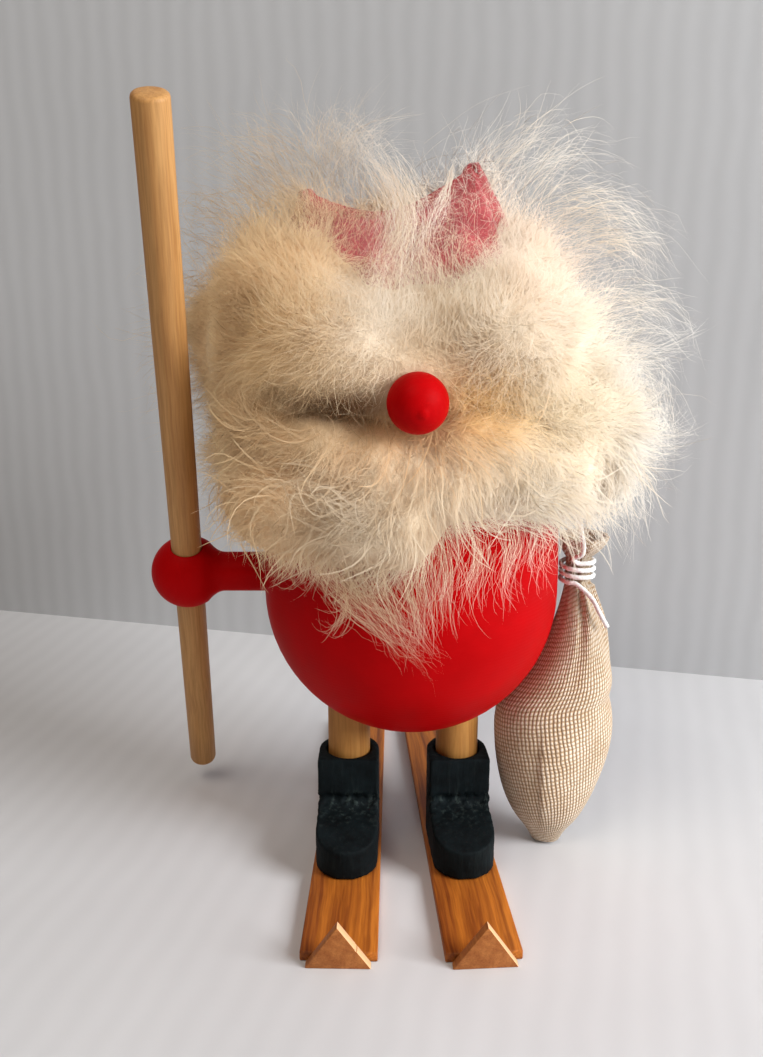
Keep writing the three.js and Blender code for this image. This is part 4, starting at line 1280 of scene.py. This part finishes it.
# %% Ribbons
def ribbons(name, path, outward, rng, thick, tone, root_tone):
    """A mesh of flat tapered fibres, with a colour from root to tip."""
    count, joints = len(path), path.shape[1] - 1
    ahead = unit(np.gradient(path, axis=1))
    fore = np.where(outward[:, 1] < 0.25, -0.7, 0.7)
    face = outward * 0.7 + rng.normal(size=outward.shape) * 0.4
    face[:, 1] += fore
    face = unit(face)[:, None, :]
    side = unit(np.cross(ahead, face))
    s = np.linspace(0, 1, joints + 1)
    half = thick * rng.uniform(0.6, 1.3, count)[:, None, None] * (1 - 0.7 * s[None, :, None] ** 1.5)
    left, right = path - side * half, path + side * half
    points = np.stack([left[:, :-1], right[:, :-1]], axis=2).reshape(count, joints * 2, 3)
    points = np.concatenate([points, path[:, -1:]], axis=1)
    each = joints * 2 + 1
    loops, starts = [], []
    for j in range(joints - 1):
        starts.append(len(loops))
        loops += [2 * j, 2 * j + 1, 2 * j + 3, 2 * j + 2]
    starts.append(len(loops))
    loops += [2 * joints - 2, 2 * joints - 1, 2 * joints]
    corner = (np.array(loops)[None] + (np.arange(count) * each)[:, None]).reshape(-1)
    begin = (np.array(starts)[None] + (np.arange(count) * len(loops))[:, None]).reshape(-1)
    mesh = bpy.data.meshes.new(name)
    mesh.vertices.add(count * each)
    mesh.vertices.foreach_set("co", (points.reshape(-1) * MM).astype(np.float32))
    mesh.loops.add(len(corner))
    mesh.loops.foreach_set("vertex_index", corner.astype(np.int32))
    mesh.polygons.add(len(begin))
    mesh.polygons.foreach_set("loop_start", begin.astype(np.int32))
    mesh.polygons.foreach_set("use_smooth", np.ones(len(begin), bool))
    mesh.update(calc_edges=True)
    along = np.append(np.repeat(s[:-1], 2), 1.0)[None, :, None]
    vary = rng.normal(1.0, 0.035, (count, 1, 1))
    colour = np.ones((count, each, 4), np.float32)
    mellow = np.clip(along * 1.3, 0, 1) ** 0.8
    colour[:, :, :3] = np.clip((root_tone[:, None, :] * (1 - mellow) + tone[:, None, :] * mellow) * vary, 0, 0.97)
    flat = unit(face - ahead * (ahead * face).sum(-1, keepdims=True))
    normal = unit(flat * 0.3 + outward[:, None, :] * 0.9 + (0, -0.25, 0.25) + rng.normal(size=(count, 1, 3)) * 0.1)
    normal = np.concatenate([np.repeat(normal[:, :-1], 2, axis=1), normal[:, -1:]], axis=1)
    mesh.normals_split_custom_set_from_vertices(normal.reshape(-1, 3))
    attribute = mesh.attributes.new("fleece", "FLOAT_COLOR", "POINT")
    attribute.data.foreach_set("color", colour.reshape(-1))
    piece = bpy.data.objects.new(name, mesh)
    bpy.context.collection.objects.link(piece)
    return piece


# %% [markdown]
# The hair leaves the nose's root on all sides: up and over at the top, outwards at the sides, down at the back. The
# beard hangs from under the nose and fans out, and its left half is drawn in again towards the tip.

# %% Which way it is combed
AXIS = np.array((AXIS_X, AXIS_Y, 0.0))
NOSE_ROOT = AXIS + (0.5, -26, 101)
HEAD_HEART = AXIS + (0, 0, 98)


def fade(values, start, end):
    """0 before the start, 1 past the end, and a straight line between them."""
    return np.clip((values - start) / (end - start), 0, 1)


def headed(flow, points, normals, rng, seed, wild, lift):
    """Mostly along the surface with the flow, partly with a swirl, partly at random, and lifted a little."""
    flat = unit(flow - normals * (flow * normals).sum(1, keepdims=True))
    mixed = flat * (0.85 - 0.45 * wild) + swirl(points, COMB_SWIRL, seed) * 0.55
    mixed += rng.normal(size=points.shape) * (0.18 + 0.4 * wild)
    raised = rng.uniform(*lift, (len(points), 1))
    return unit(mixed) * (1 - raised) + normals * raised


def comb_hair(points, normals, rng, wild):
    """Away from the nose's root, more upwards above the brow and down at the back."""
    away = unit(points - NOSE_ROOT)
    away[:, 2] += fade(points[:, 2], 112, 126) * 0.5
    away[:, 2] -= fade(points[:, 1] - AXIS_Y, 8, 28) * 0.9
    return headed(away, points, normals, rng, 11, wild, (0.05, 0.45 + 0.35 * wild))


def comb_beard(points, normals, rng, wild):
    """Away from the nose's root and down, and low down inwards again, mostly from the left."""
    away = unit(points - NOSE_ROOT)
    away[:, 2] -= 0.35
    x = points[:, 0] - AXIS_X
    away[:, 0] += fade(points[:, 2], 84, 70) * np.clip(-x / 18, -0.4, 1) * 0.9
    return headed(away, points, normals, rng, 12, wild, (0.02, 0.3 + 0.25 * wild))


# %% [markdown]
# Light comes from the right, and the colours paint more of it in. The fleece is painted whiter towards the right, as
# painted light, and its left side, which is in shade, is painted a warm tan, as painted shade. The forehead is paler,
# the beard's middle is painted lighter where it faces the light, the ochre to the right of the nose and under and left
# of it is painted shade, and the dark in the parting to the left of the nose is painted shade. Roots are darker than
# tips, partly as painted shade deep in the coat.

# %% Fleece colours
# Each zone: its middle across and up, its half sizes, how strong it is and its colour
# In order: the left side's warm tan, painted warm shade; a paler forehead; the beard's middle, painted light where it
# faces the lamp; ochre right of the nose, painted shade; whiter at the top; pinkish cream at the upper right; warm
# cream right of the nose, painted shade; greyer at the far right edge; ochre left of and under the nose, painted
# shade; and the dark parting left of the nose, painted shade.
TONE_LIGHT_AND_SHADE_ZONES = [
    ((-27, 108), (15, 14), 0.7, (1.0, 0.74, 0.42)),
    ((-6, 116), (8, 8), 0.75, (0.96, 0.88, 0.77)),
    ((-8, 82), (12, 10), 0.6, (0.94, 0.82, 0.65)),
    ((11, 101), (9, 6.5), 0.95, (1.0, 0.56, 0.16)),
    ((0, 142), (40, 9), 0.8, (0.95, 0.92, 0.89)),
    ((24, 124), (10, 10), 0.65, (0.95, 0.73, 0.58)),
    ((22, 100), (13, 6), 0.6, (0.99, 0.8, 0.5)),
    ((46, 105), (10, 32), 0.75, (0.72, 0.7, 0.67)),
    ((-3, 97), (9, 4), 0.75, (0.93, 0.52, 0.2)),
    ((-12, 101), (10, 2.6), 0.95, (0.19, 0.07, 0.016)),
]


def tones_with_painted_light(points):
    """Tip and root colours for fibres that start at these points, with painted light and shade in them."""
    x, y, z = (points - AXIS).T
    # Painted light: the colours whiten towards the right, where the lamp stands.
    right = fade(x, -24, 20)[:, None]
    tip = np.array((0.97, 0.74, 0.46)) * (1 - right) + np.array((0.88, 0.81, 0.7)) * right
    # Roots are darker than tips, partly as painted shade deep in the coat.
    root = np.array((0.9, 0.61, 0.34)) * (1 - right) + np.array((0.84, 0.7, 0.5)) * right
    front = fade(y, 26, 6)
    for (across, up), (wide, high), strength, colour in TONE_LIGHT_AND_SHADE_ZONES:
        here = strength * np.exp(-(((x - across) / wide) ** 2) - ((z - up) / high) ** 2) * front
        here = here[:, None]
        tip = tip * (1 - here) + np.array(colour) * here
        root = root * (1 - here) + np.array(colour) * 0.75 * here
    return tip, root


# %% [markdown]
# Some fibres are left out: those in the way of the staff as the arm turns, and those that would hang over the nose.
# The beard's lower edge is ragged, with its lowest tuft a little right of the middle. Over the patches where the
# cap's red cloth shows, and over the dark parting beside the nose, only a share of the fibres stays. Each window
# lies on a plane across the figure, and a fibre counts as over it where it hides it from the front.

# %% Where fewer fibres go
FRINGE = np.array([
    (-60, 79), (-39, 78), (-30, 75), (-27, 68.5), (-17, 67), (-10, 65), (-4, 61), (0.5, 57), (1.5, 63.5), (2, 70),
    (3, 75.5), (5, 77.5), (8.5, 78.2), (20, 77.8), (24, 76.5), (28, 74.5), (32, 70.5), (60, 70),
])
BACK_EDGE, BACK_FROM = 69, 6
LOOSE_SHARE, LOOSE_FROM, LOOSE_TO, LOOSE_HANG = 0.35, 1, 27, 15  # some fibres hang lower over the red paint
STAFF_SLOPE = 0.0634  # how far the staff leans inwards, for each millimetre along it
STAFF_CLEAR, STAFF_BEHIND, HAND_REACH = 0.6, 4.5, 6  # the room beside the staff, behind it and outside the hand
FLUFF_SIDE, FLUFF_TOP = 60.5, 161  # no fibre goes farther out or higher up
EYE = np.array(camera.location) / MM
# Each window: its plane's distance in front of the axis, its middle, its half sizes and the share that stays
WINDOWS = [
    (8, (-10.4, 129.8), (4.2, 4.8), 0.25), (8, (-18, 134.7), (6.5, 4), 0.7), (8, (12.6, 135.5), (3.2, 7.5), 0.16),
    (8, (7.5, 126.5), (3, 4.5), 0.45), (33, (-11, 101.6), (9, 1.3), 0.3),
]
sight = np.array(nose_place) - EYE
sight /= np.linalg.norm(sight)


def clear(path):
    """Which fibres stay out of the staff's way, off the nose and near the solid model's box."""
    x, y, z = np.moveaxis(path - np.array(hand_place), 2, 0)
    inside = STAFF_SLOPE * np.hypot(y, z) + STAFF_RADIUS + STAFF_CLEAR
    at_staff = (x < inside) & (y < STAFF_BEHIND) & (x > -HAND_REACH)
    off = path - np.array(nose_place)
    depth = off @ sight
    aside = np.linalg.norm(off - depth[:, :, None] * sight, axis=2)
    at_nose = (aside < NOSE_RADIUS - 0.1) & (depth < 3)
    beyond = (np.abs(path[:, :, 0]) > FLUFF_SIDE) | (path[:, :, 2] > FLUFF_TOP)
    return ~(at_staff | at_nose | beyond).any(1)


def above_fringe(path, rng):
    """Which fibres end above the beard's ragged lower edge."""
    x = path[:, :, 0] - AXIS_X
    edge = np.where(path[:, :, 1] > AXIS_Y + BACK_FROM, BACK_EDGE, np.interp(x, FRINGE[:, 0], FRINGE[:, 1]))
    slack = rng.gamma(1.5, 1.0, len(path))
    loose = (rng.random(len(path)) < LOOSE_SHARE) & (x[:, 0] > LOOSE_FROM) & (x[:, 0] < LOOSE_TO)
    slack += np.where(loose, rng.uniform(0, LOOSE_HANG, len(path)), 0)
    return ~(path[:, :, 2] < edge - slack[:, None]).any(1)


def beside_windows(path, rng):
    """Which fibres stay: all that are beside the windows, and a share of those over them."""
    keep = np.ones(len(path), bool)
    for out, (x, z), (wide, high), share in WINDOWS:
        scale = (AXIS_Y - out - EYE[1]) / (path[:, :, 1] - EYE[1])
        seen_x = EYE[0] + (path[:, :, 0] - EYE[0]) * scale - AXIS_X
        seen_z = EYE[2] + (path[:, :, 2] - EYE[2]) * scale
        over = (((seen_x - x) / wide) ** 2 + ((seen_z - z) / high) ** 2 < 1) & (scale > 0.98)
        keep &= ~(over.any(1) & (rng.random(len(path)) > share))
    return keep


# %% [markdown]
# Every fibre carries its own colour in an attribute, so the coat's finish reads that and adds only soft patches. The
# undercoat reads the same colours. Its noise is finer, and a bump makes it look matted, and its hollows are painted
# darker, as painted shade.

# %% The fleece's finish
fleece, nodes, links, shader = finish("long_fleece", 0.85, Sheen_Weight=0.04, Sheen_Roughness=0.5,
                                      Specular_IOR_Level=0.15)
coloured = node(nodes, "Attribute", attribute_name="fleece")
cloud = noise(nodes, links, local(nodes, links), Scale=110.0, Detail=3.0)
patches = shaded(nodes, links, cloud, (0.35, (0.86, 0.77, 0.66)), (0.6, (1, 1, 1)))
links.new(multiplied(nodes, links, coloured.outputs["Color"], patches, 0.5), shader.inputs["Base Color"])

wool, nodes, links, shader = finish("fleece_undercoat", 0.95, Sheen_Weight=0.1)
coloured = node(nodes, "Attribute", attribute_name="fleece")
matted = noise(nodes, links, local(nodes, links), Scale=240.0, Detail=6.0, Roughness=0.75, Distortion=1.5)
# Painted shade: the matted noise's low places, its hollows, are darker.
painted_hollow_shade = shaded(nodes, links, matted, (0.3, (0.84, 0.78, 0.7)), (0.7, (1, 1, 1)))
links.new(multiplied(nodes, links, coloured.outputs["Color"], painted_hollow_shade), shader.inputs["Base Color"])
bumped(nodes, links, shader, matted, 0.0008, 0.8)

# %% [markdown]
# The coat is grown in layers: a short dense down, and over it a haze of longer, finer and wilder fibres. The cap gets
# a thin haze of its own, since the fleece is tangled over it.

# %% Growing the coat
for core, solid in ((hair_core, "hair"), (beard_core, "beard")):
    spots = np.zeros(len(core.data.vertices) * 3)
    core.data.vertices.foreach_get("co", spots)
    tip, root = tones_with_painted_light(spots.reshape(-1, 3) / MM)
    shade = np.ones((len(tip), 4))
    shade[:, :3] = (tip + root) / 2
    core.data.attributes.new("fleece", "FLOAT_COLOR", "POINT").data.foreach_set("color", shade.reshape(-1))
    core.data.materials.append(wool)
    finished(core, "figure", "fleece", solid)


def thicker_in_front(points, normals):
    """Denser on the front and sides than on the back."""
    return np.where(normals[:, 1] < 0.25, 1.4, 0.8)


def lit_outline(points, normals):
    """The top and the side towards the window, where the haze is longest."""
    x, y, z = (points - AXIS).T
    lit = fade(x, 6, 20) + fade(z, CROWN, CROWN + 8) * 0.7
    return lit + fade(x, -12, -20) * fade(z, 100, 110) + 0.02


def outside_of_cap(points, normals):
    """The cap's outer side above the hair, front and back."""
    radial = (points - AXIS) * (1, 1, 0)
    return np.where(((normals * unit(radial)).sum(1) > -0.1) & (points[:, 2] > CROWN - 5), 1.0, 0.0)


fibre_count = 0


def grown(name, path, roots, normals, rng, thick, *solids):
    """Ribbons along these paths, with colours by place, on the figure's body."""
    global fibre_count
    tone, root_tone = tones_with_painted_light(roots)
    outward = unit(unit(path[:, path.shape[1] // 2] - HEAD_HEART) * 1.2 + normals)
    piece = ribbons(name, path, outward, rng, thick, tone, root_tone)
    piece.data.materials.append(fleece)
    finished(piece, "figure", "fleece", *solids)
    fibre_count += len(path)


TUFT = 240  # fibres in a wide tuft
ROOTS_TRIED = 1.6  # for each fibre wanted, because some are left out
ROOT_DEPTH = 0.7
# Each layer: the piece it grows on, where and how it is combed, joints, fibres and batches, then the shortest and
# the longest, droop, wildness, own curl, how far wide tufts draw together, size and pull of the small bunches, and
# the half width
LAYERS = {
    "hair_down": (hair_core, thicker_in_front, comb_hair, 3, 28000, 2, (3.5, 8, 0.0, 0.8, 0.22, 0.3, 30, 0.15, 0.045)),
    "beard_down": (beard_core, thicker_in_front, comb_beard, 3, 34000, 1,
                   (3.5, 8.5, 0.02, 0.5, 0.16, 0.3, 30, 0.25, 0.045)),
    "hair_haze": (hair_core, thicker_in_front, comb_hair, 5, 20000, 3, (5, 14, 0.004, 0.9, 0.24, 0.3, 8, 0.1, 0.026)),
    "beard_haze": (beard_core, thicker_in_front, comb_beard, 5, 16600, 2,
                   (6, 16, 0.025, 0.55, 0.16, 0.25, 8, 0.28, 0.03)),
    "outer_haze": (hair_core, lit_outline, comb_hair, 6, 13500, 1, (9, 22, 0.0, 1.0, 0.24, 0.0, 4, 0.08, 0.02)),
    "wisps": (hair_core, lit_outline, comb_hair, 9, 4200, 1, (14, 27, 0.006, 1.0, 0.11, 0.1, 7, 0.25, 0.02)),
    "cap_haze": (cap, outside_of_cap, comb_hair, 5, 12000, 1, (5, 13, 0.0, 0.9, 0.28, 0.1, 8, 0.1, 0.023)),
}
for name, (core, where, comb, joints, each, batches, looks) in LAYERS.items():
    shortest, longest, droop, wild, own, broad, size, pull, thick = looks
    for batch in range(batches):
        rng = np.random.default_rng([len(name), joints, batch])
        roots, normals = roots_on(core, int(each * ROOTS_TRIED), rng, where)
        lengths = shortest + (longest - shortest) * rng.random(len(roots)) ** 2
        heading = comb(roots, normals, rng, wild)
        path = walked(roots - normals * ROOT_DEPTH, heading, lengths, joints, rng, own, droop)
        path = bunched(path, rng, TUFT, broad)
        path = bunched(path, rng, size, pull)
        keep = np.flatnonzero(clear(path) & above_fringe(path, rng) & beside_windows(path, rng))[:each]
        grown(f"{name}_{batch}", path[keep], roots[keep], normals[keep], rng, thick,
              "beard" if core is beard_core else "hair")
print("fibres in layers:", fibre_count)

# %% [markdown]
# Thin strings of fibres that cling together lie over the beard, cross each other and hang down over the red paint.
# Each string is one walked path that a handful of fibres follow, drawn together towards its tip.


# %% Strings in the beard
def strung(paths, per, radius, rng):
    """`per` fibres round each path, closer together towards its tip."""
    s = np.linspace(0, 1, paths.shape[1])[None, :, None]
    strands = np.repeat(paths, per, axis=0)
    return strands + rng.normal(size=(len(strands), 1, 3)) * radius * (1.15 - s)


def low_in_front(points, normals):
    """The beard's front below the parting, and a few places besides."""
    return np.where((points[:, 1] < AXIS_Y - 14) & (points[:, 2] < 98), 1.0, 0.02) * (normals[:, 2] < 0.6)


STRINGS_TRIED, STRINGS, PER_STRING = 900, 560, 6
rng = np.random.default_rng(41)
roots, normals = roots_on(beard_core, STRINGS_TRIED, rng, low_in_front)
lengths = rng.uniform(8, 17, len(roots))
path = walked(roots + normals * 0.8, comb_beard(roots, normals, rng, 0.3), lengths, 8, rng, 0.1, 0.03)
keep = np.flatnonzero(clear(path) & above_fringe(path, rng))[:STRINGS]
path = strung(path[keep], PER_STRING, 0.12, rng)
roots, normals = (np.repeat(a[keep], PER_STRING, axis=0) for a in (roots, normals))
held = clear(path)
grown("beard_strings", path[held], roots[held], normals[held], rng, 0.026, "beard")

# %% [markdown]
# A few locks are laid one by one: the pale curl between the cap's two red patches, the tuft behind it, wisps at the
# left and the right, the strands that run together in the beard's tip, and a lock over the left hand. Each follows a
# smooth route through its points.


# %% Locks laid one by one
def laid(route, count, radius, fray, rng, joints=8):
    """Fibres that follow a route, each for a part of its way, and come apart towards the end."""
    spine = np.array([list(p) for p in smooth_route([Vector(p) for p in route], 10)]) + AXIS
    s = np.linspace(0, 1, len(spine))
    start, end = rng.uniform(0, 0.4, count), rng.uniform(0.5, 1, count)
    along = start[:, None] + (end - start)[:, None] * np.linspace(0, 1, joints + 1)
    path = np.stack([np.interp(along, s, spine[:, k]) for k in range(3)], axis=2)
    path += rng.normal(size=(count, 1, 3)) * radius * (1.1 - 0.4 * along[:, :, None])
    drift = np.linspace(0, 1, joints + 1)[None, :, None] ** 1.6
    path += swirl(path + rng.normal(size=(count, 1, 3)) * 12, LOCK_SWIRL, 31) * (0.3 + drift)
    return path + rng.normal(size=(count, 1, 3)) * fray * drift


# Each lock: its route from the body's axis, its fibres, its radius and how far its ends come apart
CURLS = [
    ([(-8, -2, 142), (-5, -9, 139), (-3, -14, 135), (-2, -17, 131), (-3.5, -21, 127), (-5.5, -25, 122),
      (-7.5, -29, 116)], 260, 1.9, 2.4),
    ([(7, -4, 141), (5.5, -10, 136), (3, -15, 131), (1.5, -19, 126)], 60, 0.4, 1),
    ([(-6, 6, 134), (-9, 4, 140), (-13, 3, 145), (-16, 2, 148)], 150, 3, 4),
    ([(-13, 5, 134), (-15, 3, 140), (-13, 2, 145), (-8, 1, 149)], 150, 3, 4),
    ([(-22, 0, 129), (-26, 1, 135), (-32, 6, 139), (-38, 8, 141)], 200, 4, 5),
    ([(-15, 4, 132), (-20, 4, 138), (-25, 4, 143), (-31, 5, 146)], 160, 4, 5),
    ([(4, 8, 134), (9, 6, 140), (14, 4, 145), (17, 4, 149)], 90, 3, 4),
    ([(-38, 16, 118), (-43, 13, 117), (-48, 11, 113), (-51, 10, 108)], 130, 3.4, 3.4),
    ([(-38, 16, 104), (-44, 13, 107), (-50, 11, 107), (-53, 12, 103)], 130, 3.4, 3.4),
    ([(-36, 16, 98), (-43, 13, 97), (-48, 11, 94), (-51, 12, 92)], 110, 3.4, 3.4),
    ([(-30, 12, 122), (-36, 12, 127), (-42, 11, 129), (-47, 11, 127)], 130, 4, 4),
    ([(-20, -30, 78), (-14, -32, 70), (-7, -32.5, 64), (-1, -32, 59), (3, -31.5, 55)], 90, 1.7, 1.6),
    ([(-10, -33, 76), (-6, -33.5, 69), (-2, -33, 62), (3.5, -32, 54.5)], 90, 1.8, 1.6),
    ([(-2, -34, 78), (0, -34, 70), (1, -33, 63), (1, -32, 57)], 70, 1.6, 1.6),
    ([(-14, -31, 72), (-12, -32, 66), (-15, -31.5, 62), (-17, -30.5, 65)], 30, 0.8, 1),
    ([(3, -34, 82), (5, -33, 74), (4.5, -32, 66), (6, -31, 62)], 60, 1.2, 2),
    ([(9, -33, 84), (10.5, -32.5, 76), (9, -31.5, 69), (10.5, -31, 64)], 60, 1.4, 2),
    ([(15, -30, 85), (17, -30, 77), (15.5, -29, 71), (18, -28, 66)], 60, 1.4, 2),
    ([(20, -28, 85), (22, -27, 78), (21, -26, 72), (23, -25, 68)], 50, 1.4, 2),
    ([(28, -13, 87), (30, -13, 81), (31, -12, 76), (30, -12, 71)], 110, 2.4, 1.8),
    ([(33, -9, 88), (35, -10, 81), (37, -9, 75), (38, -8, 69)], 170, 2.6, 2),
    ([(39, -6, 87), (42, -7, 81), (43, -6, 76), (44, -5, 72)], 120, 2.2, 2.4),
    ([(39, -3, 103), (44.5, -2, 99), (46.8, -1, 92), (46.5, 0, 84)], 300, 2.6, 2.2),
    ([(24.8, 2, 131), (31.8, 0, 134), (39, -2, 132), (44.8, -3, 125)], 150, 2.2, 3),
    ([(27.8, 2, 126), (35.7, -1, 128), (42, -3, 125.7), (46.6, -3, 118.4)], 150, 2.2, 3),
    ([(32.9, -2, 107.2), (41.1, -4, 107), (48.3, -5, 108.4), (53.7, -5, 111.2)], 90, 2, 2.4),
    ([(33.8, 0, 114.5), (41.6, -3, 116.6), (47.8, -4, 113.4), (52.4, -4, 107.4)], 110, 2.2, 2.6),
    ([(34.6, -2, 93.6), (42.2, -4, 90.1), (48.7, -5, 89.3), (53.4, -5, 91.8)], 90, 2, 2.4),
    ([(14.5, 4, 136), (18.9, 3, 143), (24.3, 3, 146), (30, 3, 145)], 120, 2.6, 3.2),
    ([(20.2, 4, 134), (25.5, 3, 140.5), (31.1, 3, 141.8), (36.7, 2, 138.2)], 130, 2.6, 3.2),
    ([(-23.5, 6, 133), (-29.9, 5, 140), (-36.4, 5, 143), (-42.5, 5, 141)], 110, 2.4, 3),
    ([(-20.6, 6, 136), (-25.1, 5, 143), (-30.9, 4, 145.5), (-37.1, 4, 144.5)], 110, 2.4, 3),
    ([(-30.4, 6, 129), (-37.3, 6, 134), (-41.7, 6, 134), (-45.1, 6, 131)], 110, 2.4, 3),
    ([(-16, 3, 137.5), (-17, 2, 143), (-13.2, 1, 147), (-7.7, 0, 147)], 110, 2.2, 2.6),
    ([(-12.8, 2, 136), (-11.4, 1, 142.5), (-6.6, 0, 146), (-1.5, -1, 145)], 100, 2.2, 2.6),
]
rng = np.random.default_rng(52)
path = np.concatenate([laid(*lock, rng) for lock in CURLS])
path = path[clear(path)]
roots = path[:, 2]
grown("laid_locks", path, roots, unit(roots - HEAD_HEART), rng, 0.025, "hair", "beard")
print("fibres in all:", fibre_count)

# %% [markdown]
# ## Floor and light
# The floor is a pale card. A greyer card stands behind the figure, a little askew, and it is seen from the front
# only, so that it hides nothing in views from behind. Both are corrugated, and the shade in their flutes is painted
# as faint stripes: a wave texture darkens the card's colour a little. A large soft lamp stands to the right, as a
# window would, and very little light comes from the left, so the left sides go dark and the shadow falls softly to
# the left.

# %% Floor and backdrop
FLUTE_PITCH = 6.5
CARD_TURN = math.radians(-13.6)
CARD_RIGHT, CARD_BEHIND, CARD_MIDDLE = -16, 109, 350


def corrugated(name, roughness, scale, dark, pale, flute_shade_level):
    """Card of two near greys, with faint stripes of painted shade across the way the card behind the figure stands."""
    card, nodes, links, shader = finish(name, roughness)
    fine = noise(nodes, links, local(nodes, links), Scale=scale, Detail=3.0)
    paper = shaded(nodes, links, fine, (0.3, dark), (0.7, pale))
    wave = node(nodes, "TexWave", Scale=math.pi / 10 / (FLUTE_PITCH * MM), Distortion=2.4, Detail=2.0)
    links.new(local(nodes, links, turn=(0, 0, CARD_TURN)), wave.inputs["Vector"])
    # Painted shade: the wave darkens the colour in stripes where the flutes' valleys lie.
    painted_flute_shade = shaded(nodes, links, wave.outputs["Color"], (0.0, (flute_shade_level,) * 3), (1.0, (1, 1, 1)))
    links.new(multiplied(nodes, links, paper, painted_flute_shade), shader.inputs["Base Color"])
    return card


deselect()
bpy.ops.mesh.primitive_plane_add(size=6, location=(0, 0, 0))
floor = bpy.context.object
floor.name = "floor"
floor.data.materials.append(corrugated("pale_card", 0.85, 14.0, (0.63, 0.635, 0.655), (0.675, 0.68, 0.7), 0.968))

deselect()
bpy.ops.mesh.primitive_plane_add(size=1, location=(0, 0, 0))
backdrop = bpy.context.object
backdrop.name = "backdrop"
backdrop.scale = (1.6, 0.7, 1)
settle(backdrop)
place(backdrop, (AXIS_X + CARD_RIGHT, CARD_BEHIND, CARD_MIDDLE),
      Matrix.Rotation(CARD_TURN, 4, "Z") @ Matrix.Rotation(math.radians(90), 4, "X"))
grey = corrugated("grey_card", 0.9, 9.0, (0.475, 0.485, 0.5), (0.51, 0.52, 0.535), 0.937)
nodes, links = grey.node_tree.nodes, grey.node_tree.links
facing = node(nodes, "NewGeometry")
nothing = node(nodes, "BsdfTransparent")
either = node(nodes, "MixShader")
links.new(facing.outputs["Backfacing"], either.inputs[0])
links.new(nodes["Principled BSDF"].outputs[0], either.inputs[1])
links.new(nothing.outputs[0], either.inputs[2])
links.new(either.outputs[0], nodes["Material Output"].inputs["Surface"])
backdrop.data.materials.append(grey)
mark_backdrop(floor, backdrop)

# %% Light
world = bpy.data.worlds.new("pale room")
bpy.context.scene.world = world
world.use_nodes = True
world.node_tree.nodes["Background"].inputs["Color"].default_value = (1, 0.88, 0.78, 1)
world.node_tree.nodes["Background"].inputs["Strength"].default_value = 0.14
for name, where, target, size, power, colour in [
    ("window", (720, -390, 430), (0, 0, 70), 420, 10.6, (0.97, 0.985, 1)),
    ("fill", (-240, -420, 860), (0, 0, 90), 420, 2.7, (1, 0.9, 0.78)),
]:
    bpy.ops.object.light_add(type="AREA", location=at(*where))
    lamp = bpy.context.object
    lamp.name = name
    lamp.data.size = size * MM
    lamp.data.energy = power
    lamp.data.color = colour
    lamp.rotation_mode = "QUATERNION"
    lamp.rotation_quaternion = (at(*target) - at(*where)).to_track_quat("-Z", "Y")
bpy.context.scene.view_settings.view_transform = "Standard"

# %% [markdown]
# ## Sizes
# The dressed figure must stay in the solid model's box, apart from a little fluff. Both boxes are written down.

# %% Print the boxes
shown_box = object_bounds()
for label, (low, high) in (("solid", solid_box), ("shown", shown_box)):
    print(label, [round(v / MM, 1) for v in low], [round(v / MM, 1) for v in high])
